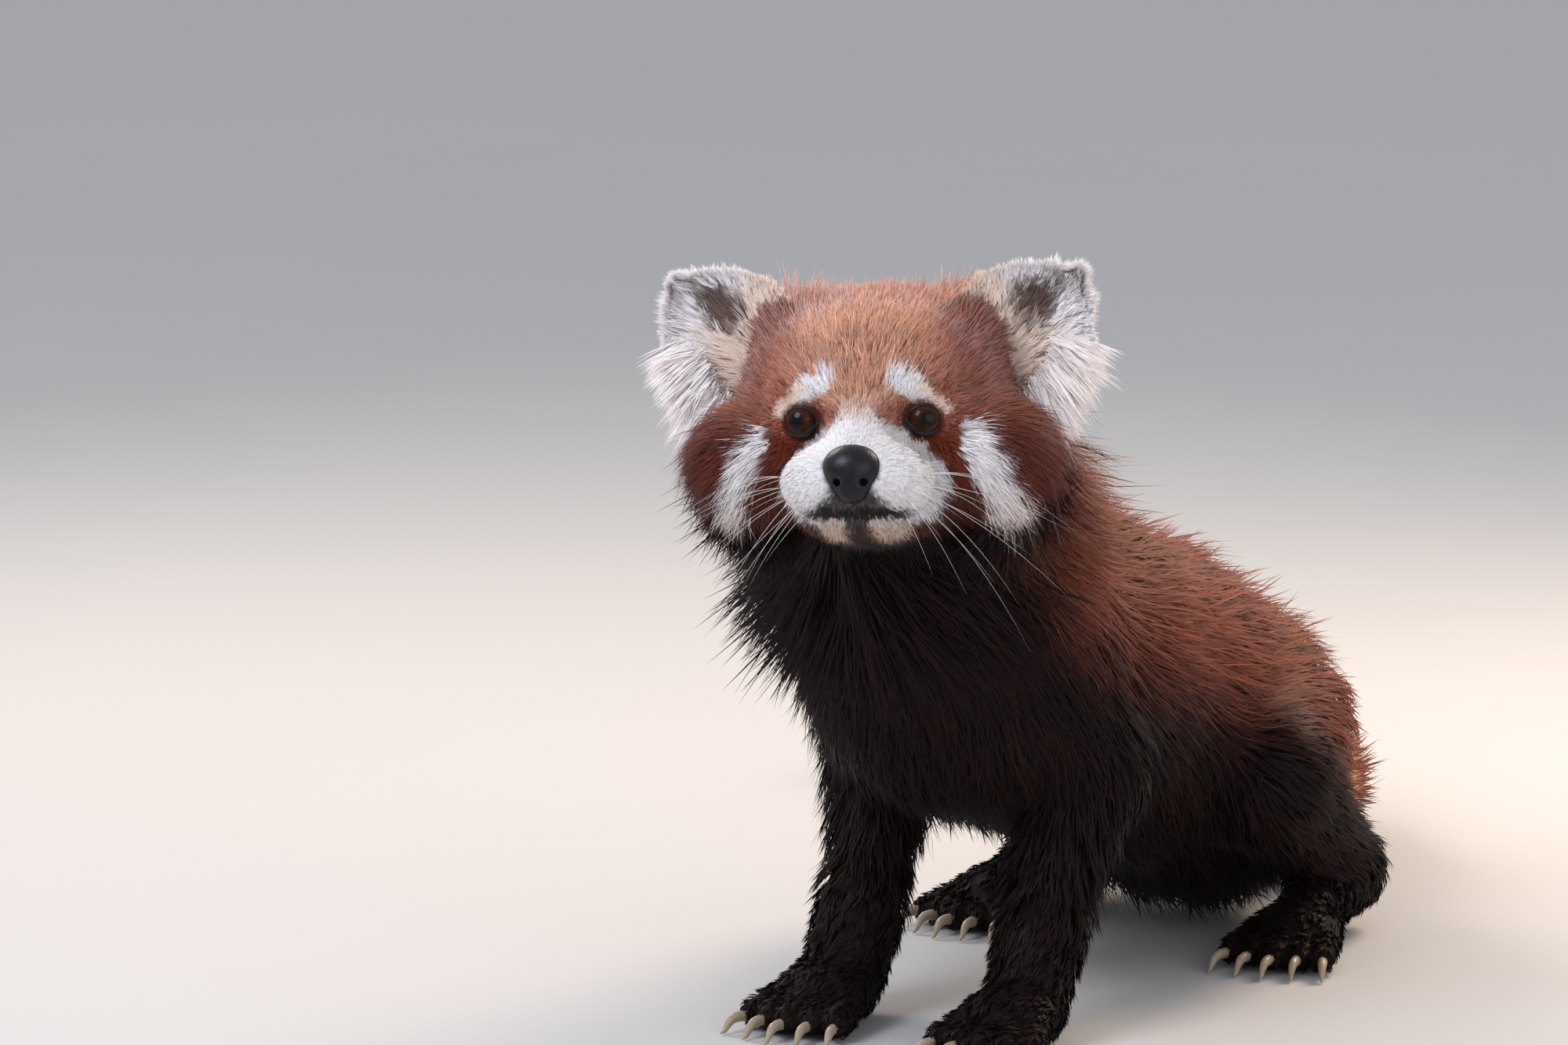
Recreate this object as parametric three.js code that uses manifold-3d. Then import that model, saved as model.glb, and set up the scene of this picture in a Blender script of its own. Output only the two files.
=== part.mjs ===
// Red panda, life size, sitting low on its haunches with its head turned and raised.
// Millimetres, +Z up. The animal faces -Y, its left side is +X, and it rests on z = 0.
import * as THREE from 'three';
import { ConvexGeometry } from 'three/addons/geometries/ConvexGeometry.js';
import { LoftGeometry } from 'three/addons/geometries/LoftGeometry.js';
import { mergeVertices } from 'three/addons/utils/BufferGeometryUtils.js';
import Module from 'manifold-3d';

const wasm = await Module();
wasm.setup();

const point = (x, y, z) => new THREE.Vector3(x, y, z);
const TURN = Math.PI * 2;
const degrees = THREE.MathUtils.degToRad;

// Driving dimensions
const GAP = 0.35;              // kept between two pieces that touch
const SEATING_FLAT = 0;        // height of the floor that the animal sits on
const TRUNK_RADIUS = 65;       // core of the coat round the ribs and belly
const WITHERS_Z = 152;         // centre of the trunk under the withers
const RUMP_Z = 68;             // centre of the trunk over the pelvis
const EYE_GAP = 47;            // between the centres of the eyes
const EYE_RADIUS = 7.6;
const NOSE_WIDTH = 21.5;
const EAR_HEIGHT = 46;
const TAIL_CORE = 35;          // half width of the tail's core at its fullest
const TAIL_PARTS = 4;
const TOES = 5;
const CLAW_LENGTH = 13;

const HEAD_TURN = degrees(22);  // towards the animal's left
const HEAD_RAISE = degrees(6);
const HEAD_TILT = degrees(-2.4);
const EYES_AT = point(24, -215, 268); // midpoint between the eyes

const FUR = {
  rust: { color: 0x8a4632, roughness: 0.85 },
  deepRust: { color: 0x5b2a1e, roughness: 0.85 },
  black: { color: 0x1f0f0d, roughness: 0.8 },
  cream: { color: 0xe9e2d6, roughness: 0.85 },
};
const EYE_FINISH = { color: 0x1c0f0b, roughness: 0.08 };
const NOSE_FINISH = { color: 0x14161c, roughness: 0.4 };

// The head has its own axes, from the midpoint between the eyes: x to its left, -y along the muzzle, z up.
const headFrame = new THREE.Matrix4().makeRotationFromEuler(
  new THREE.Euler(-HEAD_RAISE, HEAD_TILT, HEAD_TURN, 'ZXY'));
headFrame.setPosition(EYES_AT);
const headInverse = headFrame.clone().invert();
const onHead = (x, y, z) => point(x, y, z).applyMatrix4(headFrame);
const headWay = (x, y, z) => point(x, y, z).transformDirection(headFrame);

// A mass of the body is a tapered capsule between two points, or an ellipsoid round one.
const capsule = (from, startRadius, to, endRadius) => ({ from, startRadius, to, endRadius });
const ellipsoid = (centre, radii) => ({ centre, radii });

function distanceToMass(mass, place) {
  if (mass.centre) {
    const away = place.clone().sub(mass.centre);
    const scaled = away.clone().divide(mass.radii).length();
    const twice = away.clone().divide(mass.radii).divide(mass.radii).length();
    return twice < 1e-9 ? -mass.radii.x : (scaled * (scaled - 1)) / twice;
  }
  const bone = mass.to.clone().sub(mass.from);
  const away = place.clone().sub(mass.from);
  const along = THREE.MathUtils.clamp(away.dot(bone) / bone.lengthSq(), 0, 1);
  const radius = THREE.MathUtils.lerp(mass.startRadius, mass.endRadius, along);
  return away.addScaledVector(bone, -along).length() - radius;
}

function smoothMin(a, b, blend) {
  const near = Math.max(blend - Math.abs(a - b), 0) / blend;
  return Math.min(a, b) - (near * near * blend) / 4;
}

// A field is negative inside the flesh that its masses blend into, less its hollows.
function fieldOf(masses, blend, { inverse = null, hollows = [] } = {}) {
  return (place) => {
    const here = inverse ? place.clone().applyMatrix4(inverse) : place;
    const flesh = masses.reduce((found, mass) => smoothMin(found, distanceToMass(mass, here), blend), 1e3);
    return hollows.reduce((found, hollow) => -smoothMin(-found, distanceToMass(hollow, here), blend), flesh);
  };
}

function outwards(field, place) {
  const step = 0.5;
  const slope = (axis) => {
    const ahead = place.clone();
    const behind = place.clone();
    ahead[axis] += step;
    behind[axis] -= step;
    return field(ahead) - field(behind);
  };
  return point(slope('x'), slope('y'), slope('z')).normalize();
}

const both = (make) => [make(1), make(-1)].flat();

// Masses of each region
const trunkMasses = [
  capsule(point(0, -90, WITHERS_Z), TRUNK_RADIUS, point(0, -30, 138), TRUNK_RADIUS),
  capsule(point(0, -30, 138), TRUNK_RADIUS, point(0, 40, 113), TRUNK_RADIUS),
  capsule(point(0, 40, 113), TRUNK_RADIUS, point(0, 104, 82), TRUNK_RADIUS),
  capsule(point(0, 104, 82), TRUNK_RADIUS, point(0, 128, RUMP_Z), TRUNK_RADIUS - 4),
];
const neckMasses = [capsule(point(0, -106, 172), 58, point(7, -158, 240), 49)];
const headMasses = [
  ellipsoid(point(0, 44, 6), point(54, 52, 43)),
  ellipsoid(point(0, 18, 14), point(37, 24, 25)),
  ...both((side) => [
    ellipsoid(point(38 * side, 30, -16), point(33, 32, 31)),
    ellipsoid(point(20 * side, 6, 12), point(13, 10, 8)),
    ellipsoid(point(13 * side, -22, -23), point(16, 16, 13)),
  ]),
  capsule(point(0, 12, 2), 17, point(0, -28, -13), 11),
  ellipsoid(point(0, -16, -21), point(27, 22, 15.5)),
  ellipsoid(point(0, -13, -35), point(17, 19, 10)),
  ellipsoid(point(0, 14, -32), point(32, 30, 18)),
];
const eyeHollows = both((side) => [ellipsoid(point(27 * side, -9, 0), point(15, 8, 12))]);
const foreleg = (side) => ({
  shoulder: point(34 * side, -92, 168),
  elbow: point(45 * side, -70, 106),
  wrist: point(42 * side, -100, 40),
  paw: point(43 * side, -114, 15),
});
const hindleg = (side) => ({
  hip: point(36 * side, 112, 90),
  knee: point(62 * side, 58, 82),
  heel: point(64 * side, 138, 26),
  ball: point(72 * side, 76, 13),
});
const upperArmMasses = (leg) => [capsule(leg.shoulder, 32, leg.elbow, 26)];
const forearmMasses = (leg) => [capsule(leg.elbow, 26, leg.wrist, 18)];
const thighMasses = (leg) => [capsule(leg.hip, 43, leg.knee, 32)];
const shankMasses = (leg) => [capsule(leg.knee, 31, leg.heel, 18)];
const footMasses = (leg) => [capsule(leg.heel, 18, leg.ball, 15)];

const tailCourse = new THREE.CatmullRomCurve3([
  point(0, 150, 62), point(-3, 205, TAIL_CORE + 6), point(-36, 276, TAIL_CORE - 1),
  point(-104, 324, TAIL_CORE - 1), point(-182, 342, TAIL_CORE - 2), point(-262, 334, TAIL_CORE - 9),
]);
// Half width of the tail's core from its root, 0, to its tip, 1.
const tailRadius = (t) => TAIL_CORE * Math.sqrt(0.62 + 0.38 * Math.sin(Math.PI * Math.min(t * 1.4, 1)))
  * Math.sqrt(Math.max(1 - Math.max(t - 0.55, 0) ** 2 * 3.4, 0.1));
const TAIL_BEADS = 26;
const tailMasses = Array.from({ length: TAIL_BEADS }, (_, i) => {
  const [t0, t1] = [i / TAIL_BEADS, (i + 1) / TAIL_BEADS];
  return capsule(tailCourse.getPoint(t0), tailRadius(t0), tailCourse.getPoint(t1), tailRadius(t1));
});

const trunkField = fieldOf(trunkMasses, 20);
const neckField = fieldOf(neckMasses, 20);
const headField = fieldOf(headMasses, 9, { inverse: headInverse, hollows: eyeHollows });
const tailField = fieldOf(tailMasses, 4);
const legFields = [1, -1].flatMap((side) => {
  const [fore, hind] = [foreleg(side), hindleg(side)];
  return [upperArmMasses(fore), forearmMasses(fore), thighMasses(hind), shankMasses(hind), footMasses(hind)]
    .map((masses) => fieldOf(masses, 12));
});
const wholeBody = (place) => [trunkField, neckField, headField, tailField, ...legFields]
  .reduce((found, field) => smoothMin(found, field(place), 10), 1e3);

// Surfaces: rings of points where rays from an axis leave the flesh
function reach(field, origin, ray, level) {
  const gapAt = (length) => level - field(origin.clone().addScaledVector(ray, length));
  let inside = 0;
  let outside = 1;
  for (let gap = gapAt(outside); gap > 0; gap = gapAt(outside)) {
    inside = outside;
    outside += THREE.MathUtils.clamp(gap, 0.4, 8);
  }
  for (let i = 0; i < 12; i += 1) {
    const middle = (inside + outside) / 2;
    if (gapAt(middle) > 0) inside = middle;
    else outside = middle;
  }
  return inside;
}

function axisFrame(axis, t, across) {
  const along = axis.getTangent(t);
  const side = across.clone().addScaledVector(along, -across.dot(along)).normalize();
  return { origin: axis.getPoint(t), along, side, up: along.clone().cross(side) };
}

function ringAt(field, frame, tilt, sides, level, shift = 0) {
  const origin = frame.origin.clone().addScaledVector(frame.along, shift);
  return Array.from({ length: sides }, (_, k) => {
    const angle = (k / sides) * TURN;
    const ray = frame.side.clone().multiplyScalar(Math.cos(angle) * Math.cos(tilt))
      .addScaledVector(frame.up, Math.sin(angle) * Math.cos(tilt))
      .addScaledVector(frame.along, Math.sin(tilt));
    return origin.clone().addScaledVector(ray, reach(field, origin, ray, level));
  });
}

// A length of body between two stations of its axis, each end either a flat cut or a rounded fan of rings.
function lengthOfBody(field, axis, { from = 0, to = 1, rings, sides, across, startFan = 0, endFan = 0 }, grow = 0) {
  const sections = [];
  const fan = (count, i) => (Math.PI / 2) * (1 - (i + 0.3) / count);
  for (let i = 0; i < startFan; i += 1)
    sections.push(ringAt(field, axisFrame(axis, from, across), -fan(startFan, i), sides, grow));
  for (let i = 0; i <= rings; i += 1) {
    const atStart = i === 0 && !startFan;
    const atEnd = i === rings && !endFan;
    const shift = (GAP / 2 - grow) * (Number(atStart) - Number(atEnd));
    const t = THREE.MathUtils.lerp(from, to, i / rings);
    sections.push(ringAt(field, axisFrame(axis, t, across), 0, sides, grow, shift));
  }
  for (let i = endFan - 1; i >= 0; i -= 1)
    sections.push(ringAt(field, axisFrame(axis, to, across), fan(endFan, i), sides, grow));
  return skinned(sections);
}

// Solids
function solid(geometry) {
  const bare = new THREE.BufferGeometry().setIndex(geometry.index);
  bare.setAttribute('position', geometry.attributes.position);
  const merged = mergeVertices(bare, 1e-4);
  return new wasm.Manifold(new wasm.Mesh({
    numProp: 3,
    vertProperties: merged.attributes.position.array,
    triVerts: new Uint32Array(merged.index.array),
  }));
}

// Closed solid through rings of points, which are turned so that its walls face out.
function skinned(rings) {
  const centres = rings.map((ring) => ring.reduce((sum, place) => sum.add(place), point(0, 0, 0))
    .divideScalar(ring.length));
  const widest = rings[Math.floor(rings.length / 2)];
  const centre = centres[Math.floor(rings.length / 2)];
  const turning = widest.reduce((sum, place, i) => sum.add(place.clone().sub(centre)
    .cross(widest[(i + 1) % widest.length].clone().sub(centre))), point(0, 0, 0));
  const onward = centres.at(-1).clone().sub(centres[0]);
  const sections = turning.dot(onward) > 0 ? rings : rings.map((ring) => ring.toReversed());
  return solid(new LoftGeometry(sections, { capStart: true, capEnd: true }));
}

const joined = (pieces) => pieces.reduce((whole, piece) => whole.add(piece));
const largest = (piece) => piece.decompose().reduce((a, b) => (a.volume() > b.volume() ? a : b));

function geometryOf(piece) {
  const mesh = piece.getMesh();
  return new THREE.BufferGeometry()
    .setAttribute('position', new THREE.BufferAttribute(mesh.vertProperties, 3))
    .setIndex(new THREE.BufferAttribute(mesh.triVerts, 1));
}

const FLOOR_BLOCK = 2000;
const underFloor = solid(new THREE.BoxGeometry(FLOOR_BLOCK, FLOOR_BLOCK, FLOOR_BLOCK)
  .translate(0, 0, SEATING_FLAT - FLOOR_BLOCK / 2));

// A tapered tube through a few points, for claws, lips and the like
function taperedTube(course, radii, sides, across, flatness = 1) {
  const sections = radii.map((radius, i) => {
    const frame = axisFrame(course, i / (radii.length - 1), across);
    return Array.from({ length: sides }, (_, k) => {
      const angle = (k / sides) * TURN;
      return frame.origin.clone().addScaledVector(frame.side, radius * Math.cos(angle))
        .addScaledVector(frame.up, radius * flatness * Math.sin(angle));
    });
  });
  return skinned(sections);
}

// Locks: flat, tapered and three-sided, with their roots sunk in the core
let seed = 7;
function random() {
  seed = (seed * 16807) % 2147483647;
  return seed / 2147483647;
}
const varied = (size, share = 0.2) => size * (1 + share * (2 * random() - 1));
const LOCK_STATIONS = 4;
const LOCK_TAPER = [0.8, 1, 0.75, 0.08];

// A lock as the places that it passes from its root to its tip: it follows the body where that bulges,
// and keeps to its own way over a hollow.
function lyingLock(root, lie, { length, lift, sink = 5, ...size }) {
  const stations = [];
  const surface = root.clone();
  const out = outwards(wholeBody, surface);
  const flow = lie.clone().projectOnPlane(out).normalize();
  for (let k = 0; k < LOCK_STATIONS; k += 1) {
    const rise = k === 0 ? -sink : lift * (k / (LOCK_STATIONS - 1)) ** 0.7;
    stations.push({ place: surface.clone().addScaledVector(out, rise), out: out.clone(), flow: flow.clone() });
    surface.addScaledVector(flow, length / (LOCK_STATIONS - 1));
    const normal = outwards(wholeBody, surface);
    const height = wholeBody(surface);
    surface.addScaledVector(normal, height > 0 ? -0.5 * height : -height);
    out.lerp(normal, 0.6).normalize();
    const wanted = lie.clone().projectOnPlane(out).normalize();
    flow.lerp(wanted, wanted.dot(flow) > 0.3 ? 0.5 : 0).projectOnPlane(out).normalize();
  }
  return { stations, ...size };
}
function freeLock(root, way, out, { length, lift, thickness, sink = 4, ...size }) {
  const stations = Array.from({ length: LOCK_STATIONS }, (_, k) => {
    const share = k / (LOCK_STATIONS - 1);
    const place = root.clone().addScaledVector(way, length * share - sink)
      .addScaledVector(out, lift * share * share - thickness / 2);
    return { place, out, flow: way };
  });
  return { stations, thickness, ...size };
}
function lockSections({ stations, width, thickness }, grow) {
  return stations.map(({ place, out, flow }, k) => {
    const side = flow.clone().cross(out).normalize();
    const [half, ridge] = [(width / 2) * LOCK_TAPER[k], thickness * LOCK_TAPER[k]];
    const slope = Math.hypot(half, ridge);
    const edge = half + (grow * (slope + half)) / ridge;
    const base = place.clone().addScaledVector(out, -grow);
    return [
      base.clone().addScaledVector(side, edge),
      place.clone().addScaledVector(out, ridge + (grow * slope) / half),
      base.clone().addScaledVector(side, -edge),
    ];
  });
}
// The room that a lock needs is the hull of each of its lengths, drawn out at both ends.
function lockSolid(lock, grow) {
  const sections = lockSections(lock, grow);
  if (!grow) return skinned(sections);
  const drawnOut = sections.map((section, k) => [-grow, grow].flatMap((shift) =>
    section.map((place) => place.clone().addScaledVector(lock.stations[k].flow, shift))));
  return joined(drawnOut.slice(1).map((section, k) => solid(new ConvexGeometry([...drawnOut[k], ...section]))));
}
const COAT_LOCK = { length: 40, width: 19, thickness: 4.5, lift: 9 };
const variedLock = (size) => ({
  ...size, length: varied(size.length), width: varied(size.width), lift: varied(size.lift),
});
const isOutside = (root) => wholeBody(root) > -5 && root.z > SEATING_FLAT + 14;

// Staggered rows of locks round an axis; angles are measured from the animal's upper side.
function locksRound(field, axis, { from, to, rows, columns, spread, lie, size = COAT_LOCK, upper }) {
  const locks = [];
  for (let row = 0; row < rows; row += 1) {
    const frame = axisFrame(axis, THREE.MathUtils.lerp(from, to, rows > 1 ? row / (rows - 1) : 0), upper);
    for (let column = 0; column < columns; column += 1) {
      const share = (column + 0.25 + 0.5 * (row % 2) + 0.2 * random()) / columns;
      const angle = spread * (2 * share - 1);
      const ray = frame.side.clone().multiplyScalar(Math.cos(angle)).addScaledVector(frame.up, Math.sin(angle));
      const root = frame.origin.clone().addScaledVector(ray, reach(field, frame.origin, ray, 0));
      if (isOutside(root)) locks.push(lyingLock(root, lie(frame, angle), variedLock(size)));
    }
  }
  return locks;
}

// Nodes in the order in which they are made: each is cut clear of those before it
const nodes = [];
function addNode(name, finish, make, locks = []) {
  const withLocks = (grow) => joined([make(grow), ...locks.map((lock) => lockSolid(lock, grow))]);
  const rough = withLocks(0);
  const cutters = nodes.filter((other) => boxesMeet(other.box, rough.boundingBox())).map((other) => other.grown);
  const piece = largest(cutters.reduce((rest, cutter) => rest.subtract(cutter), rough.subtract(underFloor)));
  nodes.push({ name, finish, piece, grown: withLocks(GAP), box: rough.boundingBox() });
}
function boxesMeet(a, b) {
  return [0, 1, 2].every((i) => a.min[i] - GAP < b.max[i] && b.min[i] - GAP < a.max[i]);
}
const sideName = (side) => (side > 0 ? 'left' : 'right');
const line = (...places) => new THREE.CatmullRomCurve3(places);

// Eyes
const eyeFacing = (side) => headWay(0.36 * side, -1, 0.06);
const eyeAt = (side) => onHead((EYE_GAP / 2) * side, 4, 0);
for (const side of [1, -1])
  addNode(`eye_${sideName(side)}`, EYE_FINISH, (grow) => solid(new THREE.SphereGeometry(EYE_RADIUS + grow, 12, 9)
    .translate(...eyeAt(side).toArray())));

// Nose, with two comma-shaped nostrils
const noseMasses = [
  ellipsoid(point(0, -33, -17), point(NOSE_WIDTH / 2, 10, 9)),
  ellipsoid(point(0, -35, -22), point(6.5, 8, 7)),
];
const noseField = fieldOf(noseMasses, 3, { inverse: headInverse });
const noseAxis = line(onHead(0, -30, -18), onHead(0, -36, -19));
const headLeft = headWay(1, 0, 0);
const headUp = headWay(0, 0, 1);
function nostril(side) {
  return taperedTube(
    line(onHead(4.6 * side, -37, -20.5), onHead(5.6 * side, -44, -19.6), onHead(9.4 * side, -46, -18.4)),
    [1.2, 1.9, 1.4], 6, headUp);
}
addNode('nose', NOSE_FINISH, (grow) => {
  const pad = lengthOfBody(noseField, noseAxis,
    { rings: 2, sides: 14, across: headLeft, startFan: 2, endFan: 4 }, grow);
  return grow ? pad : pad.subtract(nostril(1)).subtract(nostril(-1));
});

// Head, with lids round the eyes and lips along the mouth
const headAxis = line(onHead(0, 46, 2), onHead(0, 24, -4), onHead(0, 4, -13));
const MOUTH_HALF = 25;
const MOUTH_STATIONS = 7;
const mouthCourse = line(...Array.from({ length: MOUTH_STATIONS }, (_, i) => {
  const share = (2 * i) / (MOUTH_STATIONS - 1) - 1;
  const inner = onHead(MOUTH_HALF * share * 0.5, 6, -35 + 2 * share * share);
  const way = headWay(share * 0.9, Math.abs(share) * 0.75 - 1.15, 0);
  return inner.addScaledVector(way, reach(headField, inner, way, -0.3));
}));
function lids(side) {
  const turn = new THREE.Quaternion().setFromUnitVectors(point(0, 0, 1), eyeFacing(side));
  return solid(new THREE.TorusGeometry(EYE_RADIUS - 1.3, 1.8, 5, 14).scale(1.03, 0.94, 1)
    .applyQuaternion(turn).translate(...eyeAt(side).addScaledVector(eyeFacing(side), 4.2).toArray()));
}
const HEAD_RINGS = 17;
function headShell(grow) {
  return skinned(Array.from({ length: HEAD_RINGS }, (_, i) => {
    const share = i / (HEAD_RINGS - 1);
    return ringAt(headField, axisFrame(headAxis, share, headLeft), degrees(-83 + 166 * share), 22, grow);
  }));
}
const RUFF_LOCK = { length: 30, width: 18, thickness: 5, lift: 3, sink: 9 };
const ruffLocks = both((side) => [86, 108].flatMap((back, row) =>
  Array.from({ length: 5 }, (_, i) => {
    const round = degrees(84 + 15 * (i + 0.5 * row) + 4 * random());
    const polar = degrees(back);
    const centre = onHead(0, 24, -6);
    const ray = headWay(Math.sin(polar) * Math.sin(round) * side, -Math.cos(polar), Math.sin(polar) * Math.cos(round));
    const root = centre.clone().addScaledVector(ray, reach(headField, centre, ray, 0));
    const way = headWay((0.5 - 0.16 * i) * side, 0.35, -0.9);
    const out = outwards(headField, root).add(headWay(0.4 * side, -0.5, 0)).projectOnPlane(way).normalize();
    return freeLock(root, way, out, variedLock(RUFF_LOCK));
  })));
addNode('head', FUR.rust, (grow) => {
  const shell = headShell(grow);
  if (grow) return shell;
  const lips = taperedTube(mouthCourse, [0.9, 1.8, 2.1, 2.1, 2.1, 1.8, 0.9], 5, headUp);
  const slot = taperedTube(mouthCourse, [0.3, 0.35, 0.4, 0.4, 0.4, 0.35, 0.3], 4, headUp, 6);
  return joined([shell, lids(1), lids(-1), lips]).subtract(slot);
}, ruffLocks);

// Ears: cupped leaves whose sections are crescents
const EAR_STATIONS = [0, 0.2, 0.42, 0.64, 0.84, 1];
const EAR_HALF_WIDTHS = [26, 28, 28, 25, 20, 12];
const EAR_COLUMNS = 7;
function ear(side, grow) {
  const root = point(48 * side, 50, 20);
  const axis = point(32 * side, 2, 33).setLength(EAR_HEIGHT);
  const across = point(0.7 * side, 0.1, -0.7).normalize();
  const back = axis.clone().cross(across).multiplyScalar(side).normalize();
  const sections = EAR_STATIONS.map((share, i) => {
    const centre = root.clone().addScaledVector(axis, share);
    const half = EAR_HALF_WIDTHS[i] + 2 * grow;
    const thick = THREE.MathUtils.lerp(9, 4.5, share) + grow;
    const cup = THREE.MathUtils.lerp(13, 5, share);
    const edge = (u, depth) => centre.clone().addScaledVector(across, u * half)
      .addScaledVector(back, cup * (1 - u * u) + depth).applyMatrix4(headFrame);
    const front = Array.from({ length: EAR_COLUMNS + 1 }, (_, k) => edge((2 * k) / EAR_COLUMNS - 1, -grow));
    const rear = Array.from({ length: EAR_COLUMNS - 1 }, (_, k) => {
      const u = 1 - (2 * (k + 1)) / EAR_COLUMNS;
      return edge(u, thick * Math.sqrt(1 - u * u * 0.9));
    });
    return [...front, ...rear];
  });
  return skinned(sections);
}
const EAR_TUFTS = 4;
function earTufts(side) {
  return Array.from({ length: EAR_TUFTS }, (_, i) => {
    const share = i / (EAR_TUFTS - 1);
    const root = onHead((67 + 12 * share) * side, 53, 5 + 24 * share);
    const way = headWay((0.35 + 0.45 * share) * side, 0.1, -1 + 0.55 * share);
    return freeLock(root, way, headWay(0, -1, 0), variedLock({ length: 24 - 8 * share, width: 11, thickness: 3.5, lift: 2 }));
  });
}
for (const side of [1, -1])
  addNode(`ear_${sideName(side)}`, FUR.cream, (grow) => ear(side, grow), earTufts(side));

// Trunk in two lengths, then the neck between it and the head
const trunkAxis = line(point(0, -92, WITHERS_Z), point(0, -30, 138), point(0, 40, 113), point(0, 104, 82), point(0, 124, 71));
const TRUNK_JOINT = 0.46;
const ACROSS = point(1, 0, 0);
const UPPER = point(0, 0, 1);
const backwards = () => point(0, 1, -0.5);
const trunkRows = { columns: 7, spread: degrees(112), lie: backwards, upper: UPPER };
addNode('trunk_chest', FUR.rust, (grow) => lengthOfBody(trunkField, trunkAxis,
  { to: TRUNK_JOINT, rings: 4, sides: 20, across: ACROSS, startFan: 3 }, grow),
locksRound(trunkField, trunkAxis, { ...trunkRows, from: 0.1, to: 0.42, rows: 4 }));
addNode('trunk_rump', FUR.rust, (grow) => lengthOfBody(trunkField, trunkAxis,
  { from: TRUNK_JOINT, rings: 5, sides: 20, across: ACROSS, endFan: 4 }, grow),
locksRound(trunkField, trunkAxis, { ...trunkRows, from: 0.54, to: 0.98, rows: 4 }));
const neckAxis = line(point(0, -106, 172), point(7, -156, 238));
addNode('neck', FUR.rust, (grow) => lengthOfBody(neckField, neckAxis,
  { rings: 3, sides: 16, across: ACROSS, startFan: 2, endFan: 2 }, grow),
locksRound(neckField, neckAxis, { from: 0.62, to: 0.18, rows: 2, columns: 9, spread: degrees(180),
  lie: () => point(0, 0.5, -0.85), upper: UPPER }));

// Paws and feet: a sole with toes and curved claws
function digits(base, heading, spread, reachOut, radius) {
  const right = heading.clone().cross(point(0, 0, 1));
  return Array.from({ length: TOES }, (_, i) => {
    const offset = i - (TOES - 1) / 2;
    const start = base.clone().addScaledVector(right, offset * spread * 0.72);
    const end = base.clone().addScaledVector(right, offset * spread)
      .addScaledVector(heading, reachOut - Math.abs(offset) * 2.6);
    end.z = radius + 0.2;
    const toe = capsule(start, radius + 1, end, radius);
    const way = end.clone().sub(start).normalize();
    const claw = line(end.clone().addScaledVector(way, radius * 0.4),
      end.clone().addScaledVector(way, radius + CLAW_LENGTH * 0.45).add(point(0, 0, 1.5)),
      end.clone().addScaledVector(way, radius + CLAW_LENGTH * 0.9).add(point(0, 0, -radius + 1.2)));
    return { toe, claw, start, end };
  });
}
function clawSolid(claw, grow) {
  return taperedTube(claw, [2.4, 1.9, 0.6].map((r) => r + grow), 4, point(0, 0, 1));
}
function pawSolid(soleMasses, soleAxis, toes, grow) {
  const sole = lengthOfBody(fieldOf(soleMasses, 8), soleAxis,
    { rings: 2, sides: 10, across: ACROSS, startFan: 2, endFan: 2 }, grow);
  const toeSolids = toes.map(({ toe, start, end }) => lengthOfBody(fieldOf([toe], 1), line(start, end),
    { rings: 1, sides: 6, across: point(0, 0, 1), endFan: 2 }, grow));
  return joined([sole, ...toeSolids, ...toes.map(({ claw }) => clawSolid(claw, grow))]);
}

const ELBOW = 0.5;
for (const side of [1, -1]) {
  const leg = foreleg(side);
  const armField = fieldOf([...upperArmMasses(leg), ...forearmMasses(leg)], 12);
  const armAxis = line(leg.shoulder, leg.elbow, leg.wrist);
  const heading = point(0.05 * side, -1, 0).normalize();
  const wristJoint = 0.97;
  addNode(`upper_arm_${sideName(side)}`, FUR.deepRust, (grow) => lengthOfBody(armField, armAxis,
    { to: ELBOW, rings: 3, sides: 14, across: ACROSS, startFan: 3 }, grow),
  locksRound(armField, armAxis, { from: 0.12, to: 0.34, rows: 2, columns: 4, spread: degrees(180),
    lie: () => point(0, 0.2, -1), upper: point(side, 0, 0) }));
  addNode(`forearm_${sideName(side)}`, FUR.black, (grow) => lengthOfBody(armField, armAxis,
    { from: ELBOW, to: wristJoint, rings: 3, sides: 14, across: ACROSS }, grow));
  const soleMasses = [capsule(leg.wrist, 18.5, leg.paw, 19), ellipsoid(leg.paw.clone().add(point(0, -10, -1)), point(22, 22, 14))];
  const toes = digits(leg.paw.clone().add(point(0, -16, -3)), heading, 10, 24, 7);
  addNode(`forepaw_${sideName(side)}`, FUR.black, (grow) =>
    pawSolid(soleMasses, line(leg.wrist, leg.paw.clone().add(point(0, -8, 0))), toes, grow));
}
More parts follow.
